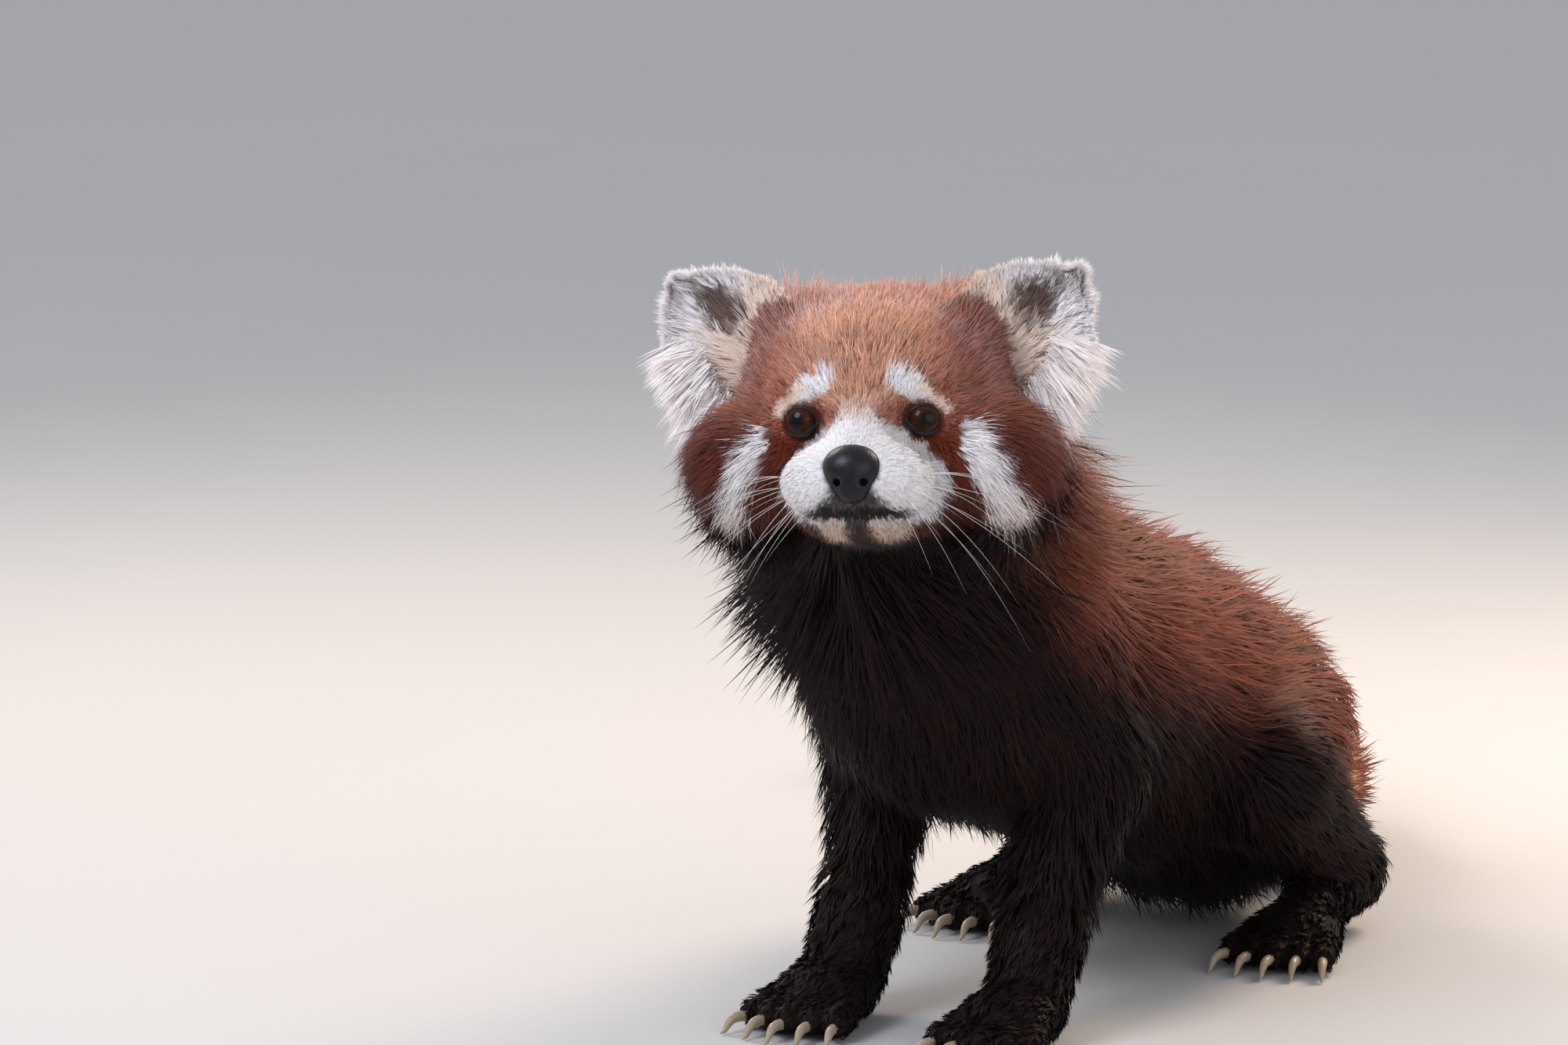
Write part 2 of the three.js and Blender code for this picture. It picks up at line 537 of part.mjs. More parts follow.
for (const side of [1, -1]) {
  const leg = hindleg(side);
  const heading = leg.ball.clone().sub(leg.heel).setZ(0).normalize();
  const thighField = fieldOf(thighMasses(leg), 12);
  const thighAxis = line(leg.hip, leg.knee);
  addNode(`thigh_${sideName(side)}`, FUR.deepRust, (grow) => lengthOfBody(thighField, thighAxis,
    { rings: 3, sides: 14, across: ACROSS, startFan: 2, endFan: 3 }, grow),
  locksRound(thighField, thighAxis, { from: 0.85, to: 0.3, rows: 2, columns: 5, spread: degrees(84),
    lie: () => point(0.1 * side, 0.9, -0.6), upper: point(side, 0, 0.4) }));
  addNode(`shank_${sideName(side)}`, FUR.black, (grow) => lengthOfBody(fieldOf(shankMasses(leg), 12),
    line(leg.knee, leg.heel), { rings: 2, sides: 10, across: ACROSS, startFan: 2, endFan: 2 }, grow));
  const soleMasses = [capsule(leg.heel, 18, leg.ball, 14), ellipsoid(leg.ball, point(21, 22, 13))];
  const toes = digits(leg.ball.clone().addScaledVector(heading, 6).setZ(11), heading, 10, 24, 7);
  addNode(`hindfoot_${sideName(side)}`, FUR.black, (grow) =>
    pawSolid(soleMasses, line(leg.heel.clone().setZ(18), leg.ball), toes, grow));
}

// Tail, in four lengths, lying on the floor behind
const TAIL_FROM = 0.06;
const TAIL_TO = 0.96;
const TAIL_LOCK = { length: 36, width: 20, thickness: 5, lift: 11 };
for (let i = 0; i < TAIL_PARTS; i += 1) {
  const last = i === TAIL_PARTS - 1;
  const from = THREE.MathUtils.lerp(TAIL_FROM, TAIL_TO, i / TAIL_PARTS);
  const to = THREE.MathUtils.lerp(TAIL_FROM, TAIL_TO, (i + 1) / TAIL_PARTS);
  addNode(`tail_${i + 1}`, i % 2 ? FUR.deepRust : FUR.rust, (grow) => lengthOfBody(tailField, tailCourse,
    { from, to, rings: 3, sides: 12, across: UPPER, endFan: last ? 4 : 0 }, grow),
  locksRound(tailField, tailCourse, { from: from + 0.02, to: to - 0.08, rows: 2, columns: 7,
    spread: degrees(150), lie: (frame) => frame.along, size: TAIL_LOCK, upper: UPPER }));
}

// The model, with its origin under the middle of its bounding box
const panda = new THREE.Group();
panda.name = 'red_panda';
for (const { name, finish, piece } of nodes) {
  const mesh = new THREE.Mesh(geometryOf(piece), new THREE.MeshStandardMaterial({ ...finish, metalness: 0 }));
  mesh.name = name;
  panda.add(mesh);
}
const bounds = new THREE.Box3().setFromObject(panda);
const middle = bounds.getCenter(point(0, 0, 0));
panda.position.set(-middle.x, -middle.y, -bounds.min.z);

export default panda;
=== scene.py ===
"""Red panda, life size, sitting low on its haunches with its head turned and raised.

Lengths are in millimetres on the body's own axes. The animal faces -Y, its left side is +X,
and the floor is z = 0.
"""

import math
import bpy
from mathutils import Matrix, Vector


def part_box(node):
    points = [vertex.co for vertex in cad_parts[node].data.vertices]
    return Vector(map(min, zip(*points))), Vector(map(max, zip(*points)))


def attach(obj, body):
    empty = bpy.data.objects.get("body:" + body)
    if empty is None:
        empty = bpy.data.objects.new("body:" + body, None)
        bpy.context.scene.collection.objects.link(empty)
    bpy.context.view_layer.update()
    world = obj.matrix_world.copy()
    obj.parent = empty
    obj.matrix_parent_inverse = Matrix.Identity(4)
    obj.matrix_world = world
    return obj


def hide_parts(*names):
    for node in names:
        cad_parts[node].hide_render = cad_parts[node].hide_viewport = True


bl_info = {
    "name": "Red Panda",
    "version": (1, 0, 0),
    "blender": (4, 5, 0),
    "location": "3D View > Sidebar > Red Panda",
    "description": "Skin, coat, eyes, nose, ears, whiskers and claws of a seated red panda",
    "category": "Add Mesh",
}

from typing import NamedTuple

import bpy
import numpy as np
from mathutils import Vector

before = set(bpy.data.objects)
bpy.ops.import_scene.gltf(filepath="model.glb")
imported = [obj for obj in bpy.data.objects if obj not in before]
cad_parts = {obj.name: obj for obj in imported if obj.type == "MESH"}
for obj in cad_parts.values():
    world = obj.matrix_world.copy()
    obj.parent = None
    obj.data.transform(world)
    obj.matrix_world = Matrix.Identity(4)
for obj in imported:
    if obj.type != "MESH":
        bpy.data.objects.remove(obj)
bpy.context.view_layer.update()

MM = 0.001
SEED = 26
SIDES = (1, -1)
SIDE_NAMES = ((1, "left"), (-1, "right"))
CORNERS = [(i, j, k) for i in (0, 1) for j in (0, 1) for k in (0, 1)]
FLOOR_CLEARANCE = 0.6
FAR = 1e3
TINY = 1e-9


def vec(*numbers):
    return np.array(numbers, float)


def unit(ways):
    return ways / np.maximum(np.linalg.norm(ways, axis=-1, keepdims=True), TINY)


def soft(values, low, high):
    """0 at or below low, 1 at or above high, and smooth between."""
    share = np.clip((values - low) / (high - low), 0, 1)
    return share * share * (3 - 2 * share)


# The head's own axes, from the midpoint between the eyes: x to its left, -y along the muzzle, z up
EYES_AT = vec(24, -215, 268)
EYE_OUT = 23.5
HEAD_TURN = math.radians(22)
HEAD_RAISE = math.radians(6)
HEAD_TILT = math.radians(-2.4)


def turn_about(axis, angle):
    a, b = [(1, 2), (2, 0), (0, 1)][axis]
    turned = np.eye(3)
    turned[a, a] = turned[b, b] = math.cos(angle)
    turned[b, a] = math.sin(angle)
    turned[a, b] = -math.sin(angle)
    return turned


HEAD_AXES = turn_about(2, HEAD_TURN) @ turn_about(0, -HEAD_RAISE) @ turn_about(1, HEAD_TILT)


def on_head(places):
    return np.asarray(places, float) @ HEAD_AXES.T + EYES_AT


def head_way(ways):
    return np.asarray(ways, float) @ HEAD_AXES.T


def to_head(places):
    return (places - EYES_AT) @ HEAD_AXES


# The eyes' place in the frame says where the body's axes are
EYE_BACK = 4
EYE_BOXES = {side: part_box(f"eye_{name}") for side, name in SIDE_NAMES}
EYE_MIDDLES = {side: np.array((low + high) / 2) / MM for side, (low, high) in EYE_BOXES.items()}
EYE_RADIUS = (EYE_BOXES[1][1].x - EYE_BOXES[1][0].x) / 2 / MM
SHIFT = (EYE_MIDDLES[1] + EYE_MIDDLES[-1]) / 2 - on_head(vec(0, EYE_BACK, 0))


def eye_at(side):
    return EYE_MIDDLES[side] - SHIFT


def eye_facing(side):
    return unit(head_way(vec(0.3 * side, -1, 0.04)))


# Flesh: masses that blend into each other, each sunk by the depth of the coat over it
class Mass:
    """A tapered capsule from start to end or, without an end, an ellipsoid."""

    def __init__(self, start, radii, end=None, end_radius=None, coat=0.0):
        self.start = np.asarray(start, float)
        self.radii = np.asarray(radii, float) - coat
        self.end = None if end is None else np.asarray(end, float)
        self.end_radius = None if end is None else end_radius - coat

    def distance(self, places):
        away = places - self.start
        if self.end is None:
            scaled = np.linalg.norm(away / self.radii, axis=-1)
            twice = np.linalg.norm(away / self.radii**2, axis=-1)
            return scaled * (scaled - 1) / np.maximum(twice, TINY)
        bone = self.end - self.start
        along = np.clip(away @ bone / (bone @ bone), 0, 1)
        radius = self.radii + (self.end_radius - self.radii) * along
        return np.linalg.norm(away - along[..., None] * bone, axis=-1) - radius

    def reach(self):
        ends = [self.start] if self.end is None else [self.start, self.end]
        size = np.max(self.radii) if self.end is None else max(self.radii, self.end_radius)
        return np.min(ends, axis=0) - size, np.max(ends, axis=0) + size


def smooth_min(a, b, blend):
    near = np.maximum(blend - np.abs(a - b), 0) / blend
    return np.minimum(a, b) - near * near * blend / 4


class Flesh:
    """A region of the body: its masses, how widely they blend, and its hollows."""

    def __init__(self, masses, blend, is_head=False, hollows=()):
        self.masses = masses
        self.blend = blend
        self.is_head = is_head
        self.hollows = hollows

    def distance(self, places):
        here = to_head(places) if self.is_head else places
        found = np.full(here.shape[:-1], FAR)
        for mass in self.masses:
            found = smooth_min(found, mass.distance(here), self.blend)
        for hollow in self.hollows:
            found = -smooth_min(-found, hollow.distance(here), self.blend)
        return found

    def box(self, margin):
        lows, highs = zip(*[mass.reach() for mass in self.masses])
        low, high = np.min(lows, axis=0), np.max(highs, axis=0)
        if self.is_head:
            corners = on_head(np.where(CORNERS, high, low))
            low, high = corners.min(0), corners.max(0)
        return low - margin, high + margin


def capsule(start, start_radius, end, end_radius, coat):
    return Mass(start, start_radius, end, end_radius, coat)


def chain(places, radii, coat):
    return [capsule(places[i], radii[i], places[i + 1], radii[i + 1], coat) for i in range(len(places) - 1)]


def curve_through(places, count):
    """Evenly counted places along a smooth curve through the given ones."""
    knots = np.vstack([2 * places[0] - places[1], places, 2 * places[-1] - places[-2]])
    found = []
    for t in np.linspace(0, len(places) - 1, count):
        i = min(int(t), len(places) - 2)
        u = t - i
        a, b, c, d = knots[i:i + 4]
        square = (2 * a - 5 * b + 4 * c - d) * u**2
        cube = (3 * b - a - 3 * c + d) * u**3
        found.append(0.5 * (2 * b + (c - a) * u + square + cube))
    return np.array(found)


TRUNK_COURSE = np.array([[0, -90, 152], [0, -30, 138], [0, 40, 113], [0, 104, 82], [0, 128, 68]], float)
TRUNK_RADII = [65, 65, 65, 65, 61]
NECK_COURSE = np.array([[0, -106, 172], [7, -158, 240]], float)
NECK_RADII = [58, 49]
TAIL_CORE = 35
TAIL_COURSE = curve_through(np.array([
    [0, 150, 62], [-3, 205, TAIL_CORE + 6], [-36, 276, TAIL_CORE - 1], [-104, 324, TAIL_CORE - 1],
    [-182, 342, TAIL_CORE - 2], [-262, 334, TAIL_CORE - 9]], float), 53)
TAIL_SHARES = np.linspace(0, 1, len(TAIL_COURSE))
TAIL_RADII = (TAIL_CORE * np.sqrt(0.62 + 0.38 * np.sin(np.pi * np.minimum(TAIL_SHARES * 1.4, 1)))
              * np.sqrt(np.maximum(1 - np.maximum(TAIL_SHARES - 0.55, 0)**2 * 3.4, 0.1)))
TAIL_BONE = 0.5
TAIL_END = 50
COAT_DEPTH = {"trunk": 9, "neck": 8, "arm": 6, "thigh": 9, "shank": 6, "foot": 2.5}


def head_masses():
    masses = [
        Mass([0, 44, 6], [54, 52, 43], coat=5),
        Mass([0, 18, 14], [37, 24, 25], coat=3.5),
        capsule([0, 12, 2], 17, [0, -28, -13], 11, 1),
        Mass([0, -16, -21], [27, 22, 15.5], coat=1.2),
        Mass([0, -13, -35], [17, 19, 10], coat=2),
        Mass([0, 14, -32], [32, 30, 18], coat=3),
    ]
    for side in SIDES:
        masses += [
            Mass([38 * side, 30, -16], [33, 32, 31], coat=8),
            Mass([20 * side, 6, 12], [13, 10, 8], coat=1.5),
            Mass([13 * side, -22, -23], [16, 16, 13], coat=1.2),
            Mass([24 * side, 8.5, 0], [12.5, 9, 11.5]),
        ]
    return masses


FORELEG = np.array([[34, -92, 168], [45, -70, 106], [42, -100, 40], [43, -114, 15]], float)
HINDLEG = np.array([[36, 112, 90], [62, 58, 82], [64, 138, 26], [72, 76, 13]], float)


def foreleg(side):
    """Shoulder, elbow, wrist and paw."""
    return FORELEG * vec(side, 1, 1)


def hindleg(side):
    """Hip, knee, heel and ball of the foot."""
    return HINDLEG * vec(side, 1, 1)


TOES = 5
TOE_SPREAD = 10
TOE_REACH = 24
TOE_RADIUS = 7


def toe_places(base, heading):
    """Start and end of each toe, fanned about the paw's heading."""
    across = np.cross(heading, [0, 0, 1])
    toes = []
    for i in range(TOES):
        offset = i - (TOES - 1) / 2
        start = base + across * offset * TOE_SPREAD * 0.72
        end = base + across * offset * TOE_SPREAD + heading * (TOE_REACH - abs(offset) * 2.6)
        end[2] = TOE_RADIUS + 0.2
        toes.append((start, end))
    return toes


def paw_toes(side, is_fore):
    if is_fore:
        paw = foreleg(side)[3]
        return toe_places(paw + vec(0, -16, -3), unit(vec(0.05 * side, -1, 0)))
    _, _, heel, ball = hindleg(side)
    heading = unit((ball - heel) * vec(1, 1, 0))
    base = ball + heading * 6
    base[2] = 11
    return toe_places(base, heading)


def paw_masses(side, is_fore):
    depth = COAT_DEPTH["foot"]
    if is_fore:
        _, _, wrist, paw = foreleg(side)
        masses = [capsule(wrist, 18.5, paw, 19, depth), Mass(paw + vec(0, -10, -1), [22, 22, 14], coat=depth)]
    else:
        _, _, heel, ball = hindleg(side)
        masses = [capsule(heel, 18, ball, 14, depth), Mass(ball, [21, 22, 13], coat=depth)]
    for start, end in paw_toes(side, is_fore):
        masses.append(capsule(start, TOE_RADIUS + 1, end, TOE_RADIUS, 1.5))
    return masses


def body_flesh():
    """Regions of the body by name."""
    regions = {
        "trunk": Flesh(chain(TRUNK_COURSE, TRUNK_RADII, COAT_DEPTH["trunk"]), 20),
        "neck": Flesh(chain(NECK_COURSE, NECK_RADII, COAT_DEPTH["neck"]), 20),
        "head": Flesh(head_masses(), 9, True, [Mass([27 * side, -11, 0], [15, 8, 12]) for side in SIDES]),
        "tail": Flesh(chain(TAIL_COURSE[:TAIL_END:2], TAIL_RADII[:TAIL_END:2] * TAIL_BONE, 0), 4),
    }
    for side, name in SIDE_NAMES:
        shoulder, elbow, wrist, _ = foreleg(side)
        hip, knee, heel, _ = hindleg(side)
        regions[f"upper_arm_{name}"] = Flesh([capsule(shoulder, 32, elbow, 26, COAT_DEPTH["arm"])], 12)
        regions[f"forearm_{name}"] = Flesh([capsule(elbow, 26, wrist, 18, COAT_DEPTH["arm"])], 12)
        regions[f"forepaw_{name}"] = Flesh(paw_masses(side, True), 3)
        regions[f"thigh_{name}"] = Flesh([capsule(hip, 43, knee, 32, COAT_DEPTH["thigh"])], 12)
        regions[f"shank_{name}"] = Flesh([capsule(knee, 31, heel, 18, COAT_DEPTH["shank"])], 12)
        regions[f"hindfoot_{name}"] = Flesh(paw_masses(side, False), 3)
    return regions


BODY_BLEND = 10
FIELD_MARGIN = 55
COARSE_STEP = 4
FINE_STEP = 2
FIELD_LOW = vec(-310, -285, -10)
FIELD_HIGH = vec(130, 390, 345)
FINE_LOW = vec(-62, -281, 198)
FINE_HIGH = vec(110, -133, 330)


def grid_of(axes):
    return np.stack(np.meshgrid(*axes, indexing="ij"), -1)


class Field:
    """The body's distances on a grid that is finer round the head."""

    def __init__(self, regions):
        self.regions = regions
        self.axes = []
        for low, high, fine_low, fine_high in zip(FIELD_LOW, FIELD_HIGH, FINE_LOW, FINE_HIGH):
            self.axes.append(np.concatenate([
                np.arange(low, fine_low, COARSE_STEP), np.arange(fine_low, fine_high, FINE_STEP),
                np.arange(fine_high, high, COARSE_STEP)]))
        self.values = np.full([len(axis) for axis in self.axes], FAR)
        for region in regions.values():
            low, high = region.box(FIELD_MARGIN)
            parts = tuple(slice(np.searchsorted(axis, a), np.searchsorted(axis, b))
                          for axis, a, b in zip(self.axes, low, high))
            grid = grid_of([axis[part] for axis, part in zip(self.axes, parts)])
            self.values[parts] = smooth_min(self.values[parts], region.distance(grid), BODY_BLEND)
        floor = FLOOR_CLEARANCE - self.axes[2]
        self.values = np.maximum(self.values, floor[None, None, :])

    def height(self, places):
        """Distance above the skin, read between the grid's corners."""
        index, share = [], []
        for k, axis in enumerate(self.axes):
            i = np.clip(np.searchsorted(axis, places[:, k]) - 1, 0, len(axis) - 2)
            index.append(i)
            share.append(np.clip((places[:, k] - axis[i]) / (axis[i + 1] - axis[i]), 0, 1))
        found = np.zeros(len(places))
        for corner in range(8):
            steps = [(corner >> k) & 1 for k in range(3)]
            weight = np.ones(len(places))
            for k in range(3):
                weight = weight * (share[k] if steps[k] else 1 - share[k])
            found += weight * self.values[tuple(index[k] + steps[k] for k in range(3))]
        return found

    def outwards(self, places, step=2.0):
        slopes = []
        for k in range(3):
            offset = np.zeros(3)
            offset[k] = step
            slopes.append(self.height(places + offset) - self.height(places - offset))
        return unit(np.stack(slopes, -1))

    def exact(self, places):
        """Distance from the masses themselves."""
        found = np.full(len(places), FAR)
        for region in self.regions.values():
            low, high = region.box(20)
            near = np.all((places > low) & (places < high), axis=1)
            found[near] = smooth_min(found[near], region.distance(places[near]), BODY_BLEND)
        return np.maximum(found, FLOOR_CLEARANCE - places[:, 2])


def surface_nets(axes, values):
    """Places and four-sided faces of the zero level of values on a grid."""
    inside = values < 0
    size = [n - 1 for n in values.shape]
    count = np.zeros(size, int)
    for i, j, k in CORNERS:
        count += inside[i:i + size[0], j:j + size[1], k:k + size[2]]
    active = (count > 0) & (count < 8)
    index = np.full(size, -1)
    index[active] = np.arange(active.sum())
    cells = np.argwhere(active)
    total, crossings = np.zeros((len(cells), 3)), np.zeros(len(cells))
    for axis in range(3):
        for corner in CORNERS:
            if corner[axis]:
                continue
            start = cells + corner
            end = start.copy()
            end[:, axis] += 1
            first, second = values[tuple(start.T)], values[tuple(end.T)]
            crosses = (first < 0) != (second < 0)
            place = np.stack([axes[k][start[:, k]] for k in range(3)], -1)
            length = axes[axis][end[:, axis]] - axes[axis][start[:, axis]]
            with np.errstate(divide="ignore", invalid="ignore"):
                place[:, axis] += np.where(crosses, first / (first - second), 0) * length
            total[crosses] += place[crosses]
            crossings[crosses] += 1
    places = total / crossings[:, None]
    faces = []
    for axis in range(3):
        a, b = (axis + 1) % 3, (axis + 2) % 3
        lower = np.take(inside, range(size[axis]), axis)
        upper = np.take(inside, range(1, size[axis] + 1), axis)
        edges = np.argwhere(lower != upper)
        enclosed = (edges[:, a] > 0) & (edges[:, b] > 0) & (edges[:, a] < size[a]) & (edges[:, b] < size[b])
        edges = edges[enclosed]
        step_a, step_b = np.eye(3, dtype=int)[a], np.eye(3, dtype=int)[b]
        ring = [index[tuple((edges - back).T)] for back in (0 * step_a, step_a, step_a + step_b, step_b)]
        quads = np.stack(ring, -1)
        flipped = ~lower[tuple(edges.T)]
        quads[flipped] = quads[flipped][:, ::-1]
        faces.append(quads)
    return places, np.vstack(faces)


# Colours: defaults are written as they look on a screen and kept as linear light
def linear(code):
    parts = [int(code[i:i + 2], 16) / 255 for i in (0, 2, 4)]
    return tuple(c / 12.92 if c < 0.04045 else ((c + 0.055) / 1.055)**2.4 for c in parts)


def colour(name, description, code):
    return bpy.props.FloatVectorProperty(
        name=name, description=description, default=linear(code), min=0, max=1, size=3, subtype="COLOR")


def length(name, description, millimetres):
    return bpy.props.FloatProperty(
        name=name, description=description, default=millimetres * MM, min=0,
        unit="LENGTH", subtype="DISTANCE")


class PandaColours(bpy.types.PropertyGroup):
    """Colours of the coat, the eyes and the nose"""

    crown: colour("Crown", "Top of the head", "9c543c")
    forehead: colour("Forehead", "Between the brow spots and the crown", "c08464")
    back: colour("Back", "Neck, back and upper flanks", "6f3a2b")
    dark: colour("Legs and belly", "Chest, legs and underside", "190a08")
    white: colour("White markings", "Muzzle, brow spots and cheek stripes", "ece7e6")
    cream: colour("Cream", "Ear bases and the tinged ends of the cheek stripes", "f3d9c4")
    tear: colour("Tear bands", "Bands from the eyes down to the corners of the mouth", "6e2a14")
    cheek: colour("Outer cheeks", "Behind the cheek stripes", "5a2216")
    ear_inner: colour("Ear centre", "Dark patch inside each ear", "5a4034")
    ring: colour("Tail rings", "Pale rings of the tail", "b98a5e")
    eye: colour("Iris", "Iris of the eyes", "34170c")
    nose: colour("Nose", "Bare nose and lips", "0d0e13")
    claw: colour("Claws", "Horn of the claws", "9c8c76")


class PandaSizes(bpy.types.PropertyGroup):
    """Lengths of the coat and the whiskers"""

    back_fur: length("Back fur", "Hair on the back and flanks", 40)
    neck_fur: length("Neck fur", "Hair round the neck", 36)
    tail_fur: length("Tail fur", "Hair of the tail", 34)
    leg_fur: length("Leg fur", "Hair on the upper legs", 25)
    foot_fur: length("Foot fur", "Hair on paws and feet", 7)
    crown_fur: length("Crown fur", "Hair on top of the head", 15)
    cheek_fur: length("Cheek fur", "Longest hair of the cheeks", 27)
    muzzle_fur: length("Muzzle fur", "Hair beside the nose", 3)
    ear_tuft: length("Ear tufts", "Long white hair below each ear", 26)
    whisker: length("Whiskers", "Longest whiskers", 70)


def sizes():
    return bpy.context.scene.panda_sizes


def shade(name):
    return np.array(getattr(bpy.context.scene.panda_colours, name))


def paint(base, name, mask, strength=1.0):
    return base + (shade(name) * strength - base) * np.clip(mask, 0, 1)[:, None]


def from_line(places, start, end):
    """Distance from the straight line between two places."""
    start, end = np.asarray(start, float), np.asarray(end, float)
    along = np.clip((places - start) @ (end - start) / ((end - start) @ (end - start)), 0, 1)
    return np.linalg.norm(places - start - along[:, None] * (end - start), axis=1)


def ripple(places, wavelength):
    """Smooth irregular waves between -1 and 1."""
    x, y, z = (places * (2 * math.pi / wavelength)).T
    first = np.sin(x + 1.7 * np.sin(0.61 * y + 0.4))
    second = np.sin(1.31 * y + 1.3 * np.sin(0.83 * z))
    third = np.sin(0.91 * z + 1.9 * np.sin(0.53 * x + 1.1))
    return (first + second + third) / 3


def rippled(places, height, shifts, wavelengths):
    """The places moved by ripples, so that the edges of the markings are ragged."""
    waves = [ripple(places + shift, wavelength) for shift, wavelength in zip(shifts, wavelengths)]
    return places + height * np.stack(waves, -1)


# Markings: on the head x is the distance from its middle, y goes back and z up from the eyes
NARROW_STRIPE_SIDE = -1
NARROW_STRIPE_SHARE = 0.68
STRIPE_LINE = ([43.5, -4], [54.5, -36])
RIM_LINE = ([24, 13.5], [33.5, 4])
BROW_AT = (19, 15.5)
BROW_RADII = (7.8, 7.4)
BROW_SLANT = 0.3
CHIN_AT = (11.5, -43.5)
CHIN_RADII = (7, 6)
MOUTH_HEIGHT = -35
NOSE_MIDDLE = vec(0, -34, -17.5)
NOSE_RADII = vec(11.6, 10, 9.6)
MUZZLE_EDGE = ([-44, -38, -30, -20, -10, -2, 4], [17, 28, 33, 32.5, 23, 12, 6])


def head_reds(x, y, z):
    """Red-brown, darker behind and below, with the bands from the eyes."""
    tone = np.repeat(shade("crown")[None], len(x), 0)
    tone = paint(tone, "back", soft(x, 28, 62) * soft(z, -20, 10) * 0.75)
    tone = paint(tone, "forehead", (1 - soft(y, 16, 46)) * soft(z, 2, 12) * (1 - soft(x, 14, 36)))
    tone = paint(tone, "back", soft(y, 48, 80) * (1 - soft(z, 25, 50)) * 0.8)
    tone = paint(tone, "cheek", soft(x, 34, 44) * soft(-z, -8, 8))
    tone = paint(tone, "dark", soft(-z, 16, 50) * soft(x, 20, 40) * 0.7)
    tone = paint(tone, "dark", soft(-z, 42, 50))
    tear = soft(x, 13, 19) * (1 - soft(x, 38, 48)) * soft(-z, -1, 9) * (1 - soft(y, 24, 40))
    tone = paint(tone, "tear", tear * (1 - soft(-z, 44, 52)))
    return paint(tone, "dark", tear * soft(-z, 8, 40) * 0.6)


def head_whites(tone, x, y, z, stripe_share):
    """Cheek stripes, muzzle, brow spots and the pale rims above the eyes."""
    flat = np.stack([x, z], -1)
    face = 1 - soft(y, 12, 34)
    widened = soft(-z, 2, 26)
    within = (2.8 + 2.2 * widened) * stripe_share
    beyond = (5.4 + 2.6 * widened) * stripe_share
    stripe = (1 - soft(from_line(flat, *STRIPE_LINE), within, beyond)) * (1 - soft(y, 40, 52))
    tone = paint(tone, "white", stripe)
    tone = paint(tone, "cream", stripe * soft(-z, 24, 46) * 0.65)
    edge = np.interp(z, *MUZZLE_EDGE)
    muzzle = (1 - soft(x - edge, -2, 2.5)) * soft(z, -42, -37.5) * (1 - soft(z, 1, 9)) * face
    tone = paint(tone, "white", muzzle)
    tone = paint(tone, "cream", (1 - soft(x, 5, 11)) * soft(z, -1, 5) * (1 - soft(z, 5, 14)) * face * 0.5)
    brow_x = x - BROW_AT[0] + BROW_SLANT * (z - BROW_AT[1] - 0.5)
    brow_z = z - BROW_AT[1] - BROW_SLANT * (BROW_AT[0] - x)
    brow = np.hypot(brow_x / BROW_RADII[0], brow_z / BROW_RADII[1])
    tone = paint(tone, "white", (1 - soft(brow, 0.7, 1.15)) * face)
    rim = 1 - soft(from_line(flat, *RIM_LINE), 0.9, 3.4)
    return paint(tone, "cream", rim * face * 0.8)


def head_mouth(tone, x, y, z):
    """Dark hair below the nose and along the mouth, and the two pale patches of the chin."""
    chin = 1 - soft(np.hypot((x - CHIN_AT[0]) / CHIN_RADII[0], (z - CHIN_AT[1]) / CHIN_RADII[1]), 0.6, 1.2)
    flare = 0.9 * np.maximum(-z - 26, 0)
    lip = (1 - soft(x, 6 + flare, 12.5 + flare)) * soft(-z, 21, 26) * (1 - soft(-z, 36, 39))
    tone = paint(tone, "dark", lip * (1 - soft(y, -14, -2)) * 0.92)
    mouth = (1 - soft(np.abs(z - MOUTH_HEIGHT), 1.2, 3.2)) * (1 - soft(x, 18, 26)) * (1 - soft(y, 0, 14))
    tone = paint(tone, "dark", mouth * 0.92)
    tone = paint(tone, "dark", (1 - soft(x, 3, 7)) * soft(-z, 35, 38) * (1 - soft(y, 0, 12)) * 0.9)
    return paint(tone, "cream", chin * (1 - soft(y, 0, 12)) * 0.8, 0.72)


def head_markings(here):
    """Colour at places on the head, given on its own axes."""
    ragged = rippled(here, 1.3, (0, 31, -17), (9, 7, 8))
    x, y, z = np.abs(ragged[:, 0]), ragged[:, 1], ragged[:, 2]
    stripe_share = np.where(here[:, 0] * NARROW_STRIPE_SIDE > 0, NARROW_STRIPE_SHARE, 1.0)
    tone = head_whites(head_reds(x, y, z), x, y, z, stripe_share)
    tone = head_mouth(tone, x, y, z)
    for side in SIDES:
        away = np.hypot(here[:, 0] - EYE_OUT * side, 1.08 * here[:, 2])
        tone = paint(tone, "dark", (1 - soft(away, 7.6, 9.4)) * (1 - soft(here[:, 1], 4, 12)) * 0.8)
    under_nose = np.linalg.norm((here - NOSE_MIDDLE) / NOSE_RADII, axis=1)
    return paint(tone, "nose", 1 - soft(under_nose, 0.98, 1.06))


def along_tail(places):
    """Share of the tail's length at the nearest of its stations, and the tail's way there."""
    best, share = np.full(len(places), FAR**2), np.zeros(len(places))
    for t, station in zip(TAIL_SHARES, TAIL_COURSE):
        away = np.linalg.norm(places - station, axis=1)
        nearer = away < best
        best[nearer], share[nearer] = away[nearer], t
    step = TAIL_SHARES[1]
    last = len(TAIL_COURSE) - 1
    i = np.clip((share / step).astype(int), 0, last)
    way = TAIL_COURSE[np.minimum(i + 1, last)] - TAIL_COURSE[np.maximum(i - 1, 0)]
    slip = np.sum((places - TAIL_COURSE[i]) * way, 1) / np.sum(way * way, 1) * 2
    return np.clip(share + slip * step, 0, 1), unit(way)


TAIL_RINGS = 6.0
RINGS_START = (0.2, 0.27)
DARK_TIP = (0.9, 0.96)


